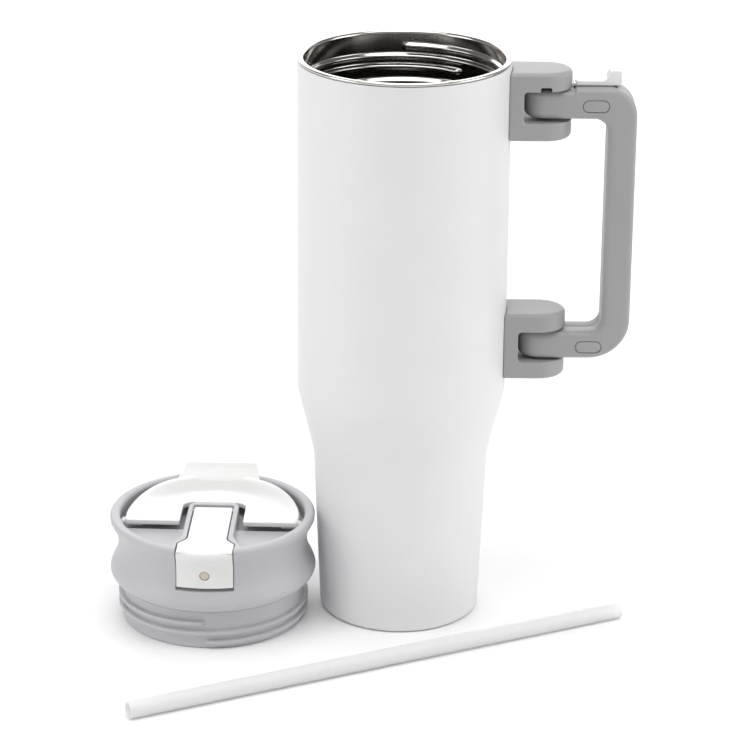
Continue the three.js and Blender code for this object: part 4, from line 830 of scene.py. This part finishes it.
cover = mesh_object("drink_cover", cover_disc(), LID_PLACE)
half, far = SPINE_W / 2 + 3, SPINE_END_Y + 2.5
notch = rounded_corners([(-half, -40, 0), (half, -40, 0), (half, far, 5), (-half, far, 5)], 8)
carve(cover, plate(rectangle(-FAR, FAR, -FAR, COVER_FRONT_Y), 0, 90, 0, 0), plate(notch, 0, 90, 0, 0),
      place=LID_PLACE)
tab = mesh_object("tab", cover_tab(), LID_PLACE)
half, tip, tip_y = TAB_W / 2, TAB_TIP_W / 2, 52.4
tab_plan = rounded_corners([(-half, 30, 0), (half, 30, 0), (tip, tip_y, 4.5), (-tip, tip_y, 4.5)], 8)
carve(tab, plate(tab_plan, 30, 70, 0, 0), place=LID_PLACE, operation="INTERSECT")
barrels = [mesh_object("barrel", bar_x(BARREL_R, start, end, COVER_AXIS_Y, COVER_AXIS_Z), LID_PLACE)
           for start, end in ((-42.8, -33), (33, 42.8))]
absorb(cover, tab, *barrels)
moulded(cover, 0.36, 5)
finished(cover, "cover", WHITE_TRITAN, "white_plastic", "flip_cover")

# ---- Straw flap ----

def straw_flap():
    """A T whose tongue lies in the spine and whose head folds down over the front. Rings across X go from the
    inner line to the outer line; the head's outer face follows the lid's side, standing 0.5 mm proud."""
    round_r = TONGUE_T / 2
    top, bottom = TONGUE_Z + round_r, TONGUE_Z - round_r
    back = FLAP_AXIS_Y
    turn = np.linspace(0, np.pi / 2, 10)
    falling = turn[::-1]
    # Outer line in Y and Z: the round back end, the tongue's top, the bend and the head's face.
    heights = np.linspace(LID_H - 3.4, HEAD_BOTTOM_Z, 30)
    face = np.stack([-side_radius(heights) - FLAP_PROUD, heights], -1)
    knee_y = -RIM_R + 1.2
    bend = np.stack([knee_y + (face[0, 0] - knee_y) * np.sin(turn),
                     face[0, 1] + (top - face[0, 1]) * np.cos(turn)], -1)
    outer = np.concatenate([
        np.stack([back + round_r * np.sin(falling), TONGUE_Z + round_r * np.cos(falling)], -1),
        np.stack([np.linspace(back, knee_y, 60)[1:-1], np.full(58, top)], -1), bend, face[1:]])
    # Inner line: under the back end and the tongue, then down behind the head.
    inner = np.stack([np.clip(outer[:, 0], HEAD_INNER_Y, back), np.full(len(outer), bottom)], -1)
    ends = len(turn)
    inner[:ends] = np.stack([back + round_r * np.sin(falling), TONGUE_Z - round_r * np.cos(falling)], -1)
    down = outer[:, 1] < top - 1e-6
    down[:ends] = False
    inner[down] = np.stack([np.full(down.sum(), HEAD_INNER_Y), np.minimum(bottom, outer[down, 1])], -1)
    half = np.where(down, HEAD_W / 2, flap_half(outer[:, 0]))
    # Ring points: share from the inner to the outer line, millimetres from that line, distance drawn in from the
    # side, and place across from -1 to 1.
    edge = 0.7
    a = np.linspace(0, np.pi / 2, 6)
    flat = np.linspace(-1, 1, 17)[1:-1]
    sides = np.concatenate([np.stack([0 * a, edge * (1 - np.cos(a)), edge * (1 - np.sin(a)), 0 * a + 1], -1),
                            np.stack([0 * a + 1, -edge * (1 - np.sin(a)), edge * (1 - np.cos(a)), 0 * a + 1], -1)])
    middle = np.stack([0 * flat + 1, 0 * flat, 0 * flat, flat[::-1]], -1)
    ring = np.concatenate([sides, middle, sides[::-1] * (1, 1, 1, -1), middle[::-1] * (0, 1, 1, 1)])
    share, added, drawn, across = ring.T
    x = half[:, None] * across - np.sign(across) * drawn
    span = outer - inner
    thick = np.maximum(np.linalg.norm(span, axis=1), 1e-6)[:, None]
    f = share + np.clip(added / thick, -0.5, 0.5)
    y = inner[:, None, 0] + span[:, None, 0] * f
    z = inner[:, None, 1] + span[:, None, 1] * f
    curved = -np.sqrt(np.maximum(outer[:, None, 0] ** 2 - x ** 2, 1)) - outer[:, None, 0]
    return loft(np.stack([x, y + down[:, None] * f * curved, z], -1))


flap = mesh_object("straw_flap", straw_flap(), LID_PLACE, 45)
gate_y, gate_z = -WAIST_R - 0.2, HEAD_BOTTOM_Z + GATE_RISE
gate_seat = stand_y(plate(circle(GATE_R + 0.25) + (0, gate_z), -FAR, gate_y + GATE_T + 0.3, 0, 0))
carve(flap, gate_seat, bar_x(1.4, -20, 20, FLAP_AXIS_Y, TONGUE_Z), place=LID_PLACE, sharp=45)
finished(flap, "flap", WHITE_TRITAN, "white_plastic", "front_flap")
gate = stand_y(plate(circle(GATE_R) + (0, gate_z), gate_y, gate_y + GATE_T, 0.25, 0.1))
finished(mesh_object("vent_plug", gate, LID_PLACE), "flap", ACETAL, "bush_plastic", "flap_gate_plug")

# ---- Straw ----

def straw_tube():
    """A tube lying along X with softened ends."""
    half, bore_r, edge = STRAW_L / 2, STRAW_R - STRAW_WALL, 0.3
    line = rounded_corners([(STRAW_R, -half, edge), (STRAW_R, half, edge), (bore_r, half, edge),
                            (bore_r, -half, edge)], 4)
    return stand_x(turned(dense(line, 12.0), 64))


straw_middle = (straw_low + straw_high) / 2
straw_place = Matrix.Translation(Vector(straw_middle) * MM) @ Matrix.Rotation(STRAW_TURN, 4, "Z")
finished(mesh_object("straw_tube", straw_tube(), straw_place), "straw", STRAW_PP, "clear_plastic", "straw")

# ---- CAD nodes that stay ----
STAYING = {
    PLAIN_STEEL: ["getter_holder", "upper_weld_plate", "lower_weld_plate", "upper_hinge_pin", "lower_hinge_pin",
                  "upper_bracket_screw_front", "upper_bracket_screw_rear", "lower_bracket_screw_front",
                  "lower_bracket_screw_rear", "upper_handle_screw", "lower_handle_screw", "lock_detent_spring",
                  "cover_pin_left", "cover_pin_right", "flap_pin"],
    GETTER: ["vacuum_getter"],
    SOLDER_GLASS: ["vacuum_seal_bead"],
    ACETAL: ["upper_bush", "lower_bush"],
    SILICONE: ["straw_grommet", "cover_seal", "flap_plug"],
}
for finish, names in STAYING.items():
    for name in names:
        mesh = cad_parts[name].data
        mesh.materials.clear()
        mesh.materials.append(finish)

# ---- Floor, light and camera ----
floor_paint = grained("pale_studio_floor", "fcfcfc", "fafafa", 2.0, 0.01, 0.6, 0.05)
FLOOR_REACH, FLOOR_POINTS = 40000.0, 9
floor_span = np.linspace(-FLOOR_REACH, FLOOR_REACH, FLOOR_POINTS)
floor_x, floor_y = np.meshgrid(floor_span, floor_span)
ground = np.stack([floor_x, floor_y, 0 * floor_x], -1).reshape(-1, 3)
floor_mesh = bpy.data.meshes.new("floor")
floor_quads = grid_faces(FLOOR_POINTS, FLOOR_POINTS, wrap_columns=False)
floor_mesh.from_pydata((ground * MM).tolist(), [], floor_quads.tolist())
floor_mesh.shade_smooth()
floor_mesh.materials.append(floor_paint)
floor = bpy.data.objects.new("floor", floor_mesh)
scene.collection.objects.link(floor)

world = bpy.data.worlds.new("studio")
scene.world = world
world.use_nodes = True
# White walls all round, up to a dim ceiling: the strength falls with the height of the direction looked in.
walls = world.node_tree
direction = add_node(walls, "ShaderNodeTexCoord").outputs["Generated"]
upward = add_node(walls, "ShaderNodeSeparateXYZ", [("Vector", direction)]).outputs["Z"]
dimming = add_node(walls, "ShaderNodeMapRange",
                   [("Value", upward), ("From Min", 0.05), ("From Max", 0.4), ("To Min", 0.6), ("To Max", 0.17)],
                   interpolation_type="SMOOTHSTEP")
backdrop = walls.nodes["Background"]
backdrop.inputs["Color"].default_value = srgb("ffffff")
walls.links.new(dimming.outputs["Result"], backdrop.inputs["Strength"])


def softbox(name, place, aim, width, height, power):
    """A rectangular light turned towards a point."""
    light = bpy.data.lights.new(name, "AREA")
    light.shape, light.size, light.size_y, light.energy = "RECTANGLE", width, height, power
    lamp = bpy.data.objects.new(name, light)
    lamp.location = place
    lamp.rotation_mode = "QUATERNION"
    lamp.rotation_quaternion = (Vector(aim) - Vector(place)).to_track_quat("-Z", "Y")
    scene.collection.objects.link(lamp)


softbox("left_softbox", (-1.2, -0.45, 0.7), (0, 0, 0.14), 0.8, 1.3, 5.6)
softbox("right_softbox", (1.25, -0.3, 0.7), (0, 0, 0.14), 0.8, 1.3, 6.6)
softbox("back_light", (0.0, 1.35, 0.75), (0, 0, 0.12), 1.9, 0.9, 10.5)
ceiling = bpy.data.lights.new("soft_ceiling", "SUN")
ceiling.energy, ceiling.angle = 1.9, math.radians(55)
overhead = bpy.data.objects.new("soft_ceiling", ceiling)
overhead.rotation_euler = (math.radians(9), 0, 0)
scene.collection.objects.link(overhead)

camera = bpy.data.cameras.new("camera")
camera.lens, camera.sensor_width, camera.sensor_fit = 144.0, 36.0, "HORIZONTAL"
camera.clip_start, camera.clip_end = 0.05, 20
eye = bpy.data.objects.new("camera", camera)
eye.matrix_world = (Matrix.Translation((-0.012324, -1.324653, 0.6235)) @ Matrix.Rotation(math.radians(69.06), 4, "X")
                    @ Matrix.Rotation(math.radians(0.469), 4, "Z"))
scene.collection.objects.link(eye)
scene.camera = eye
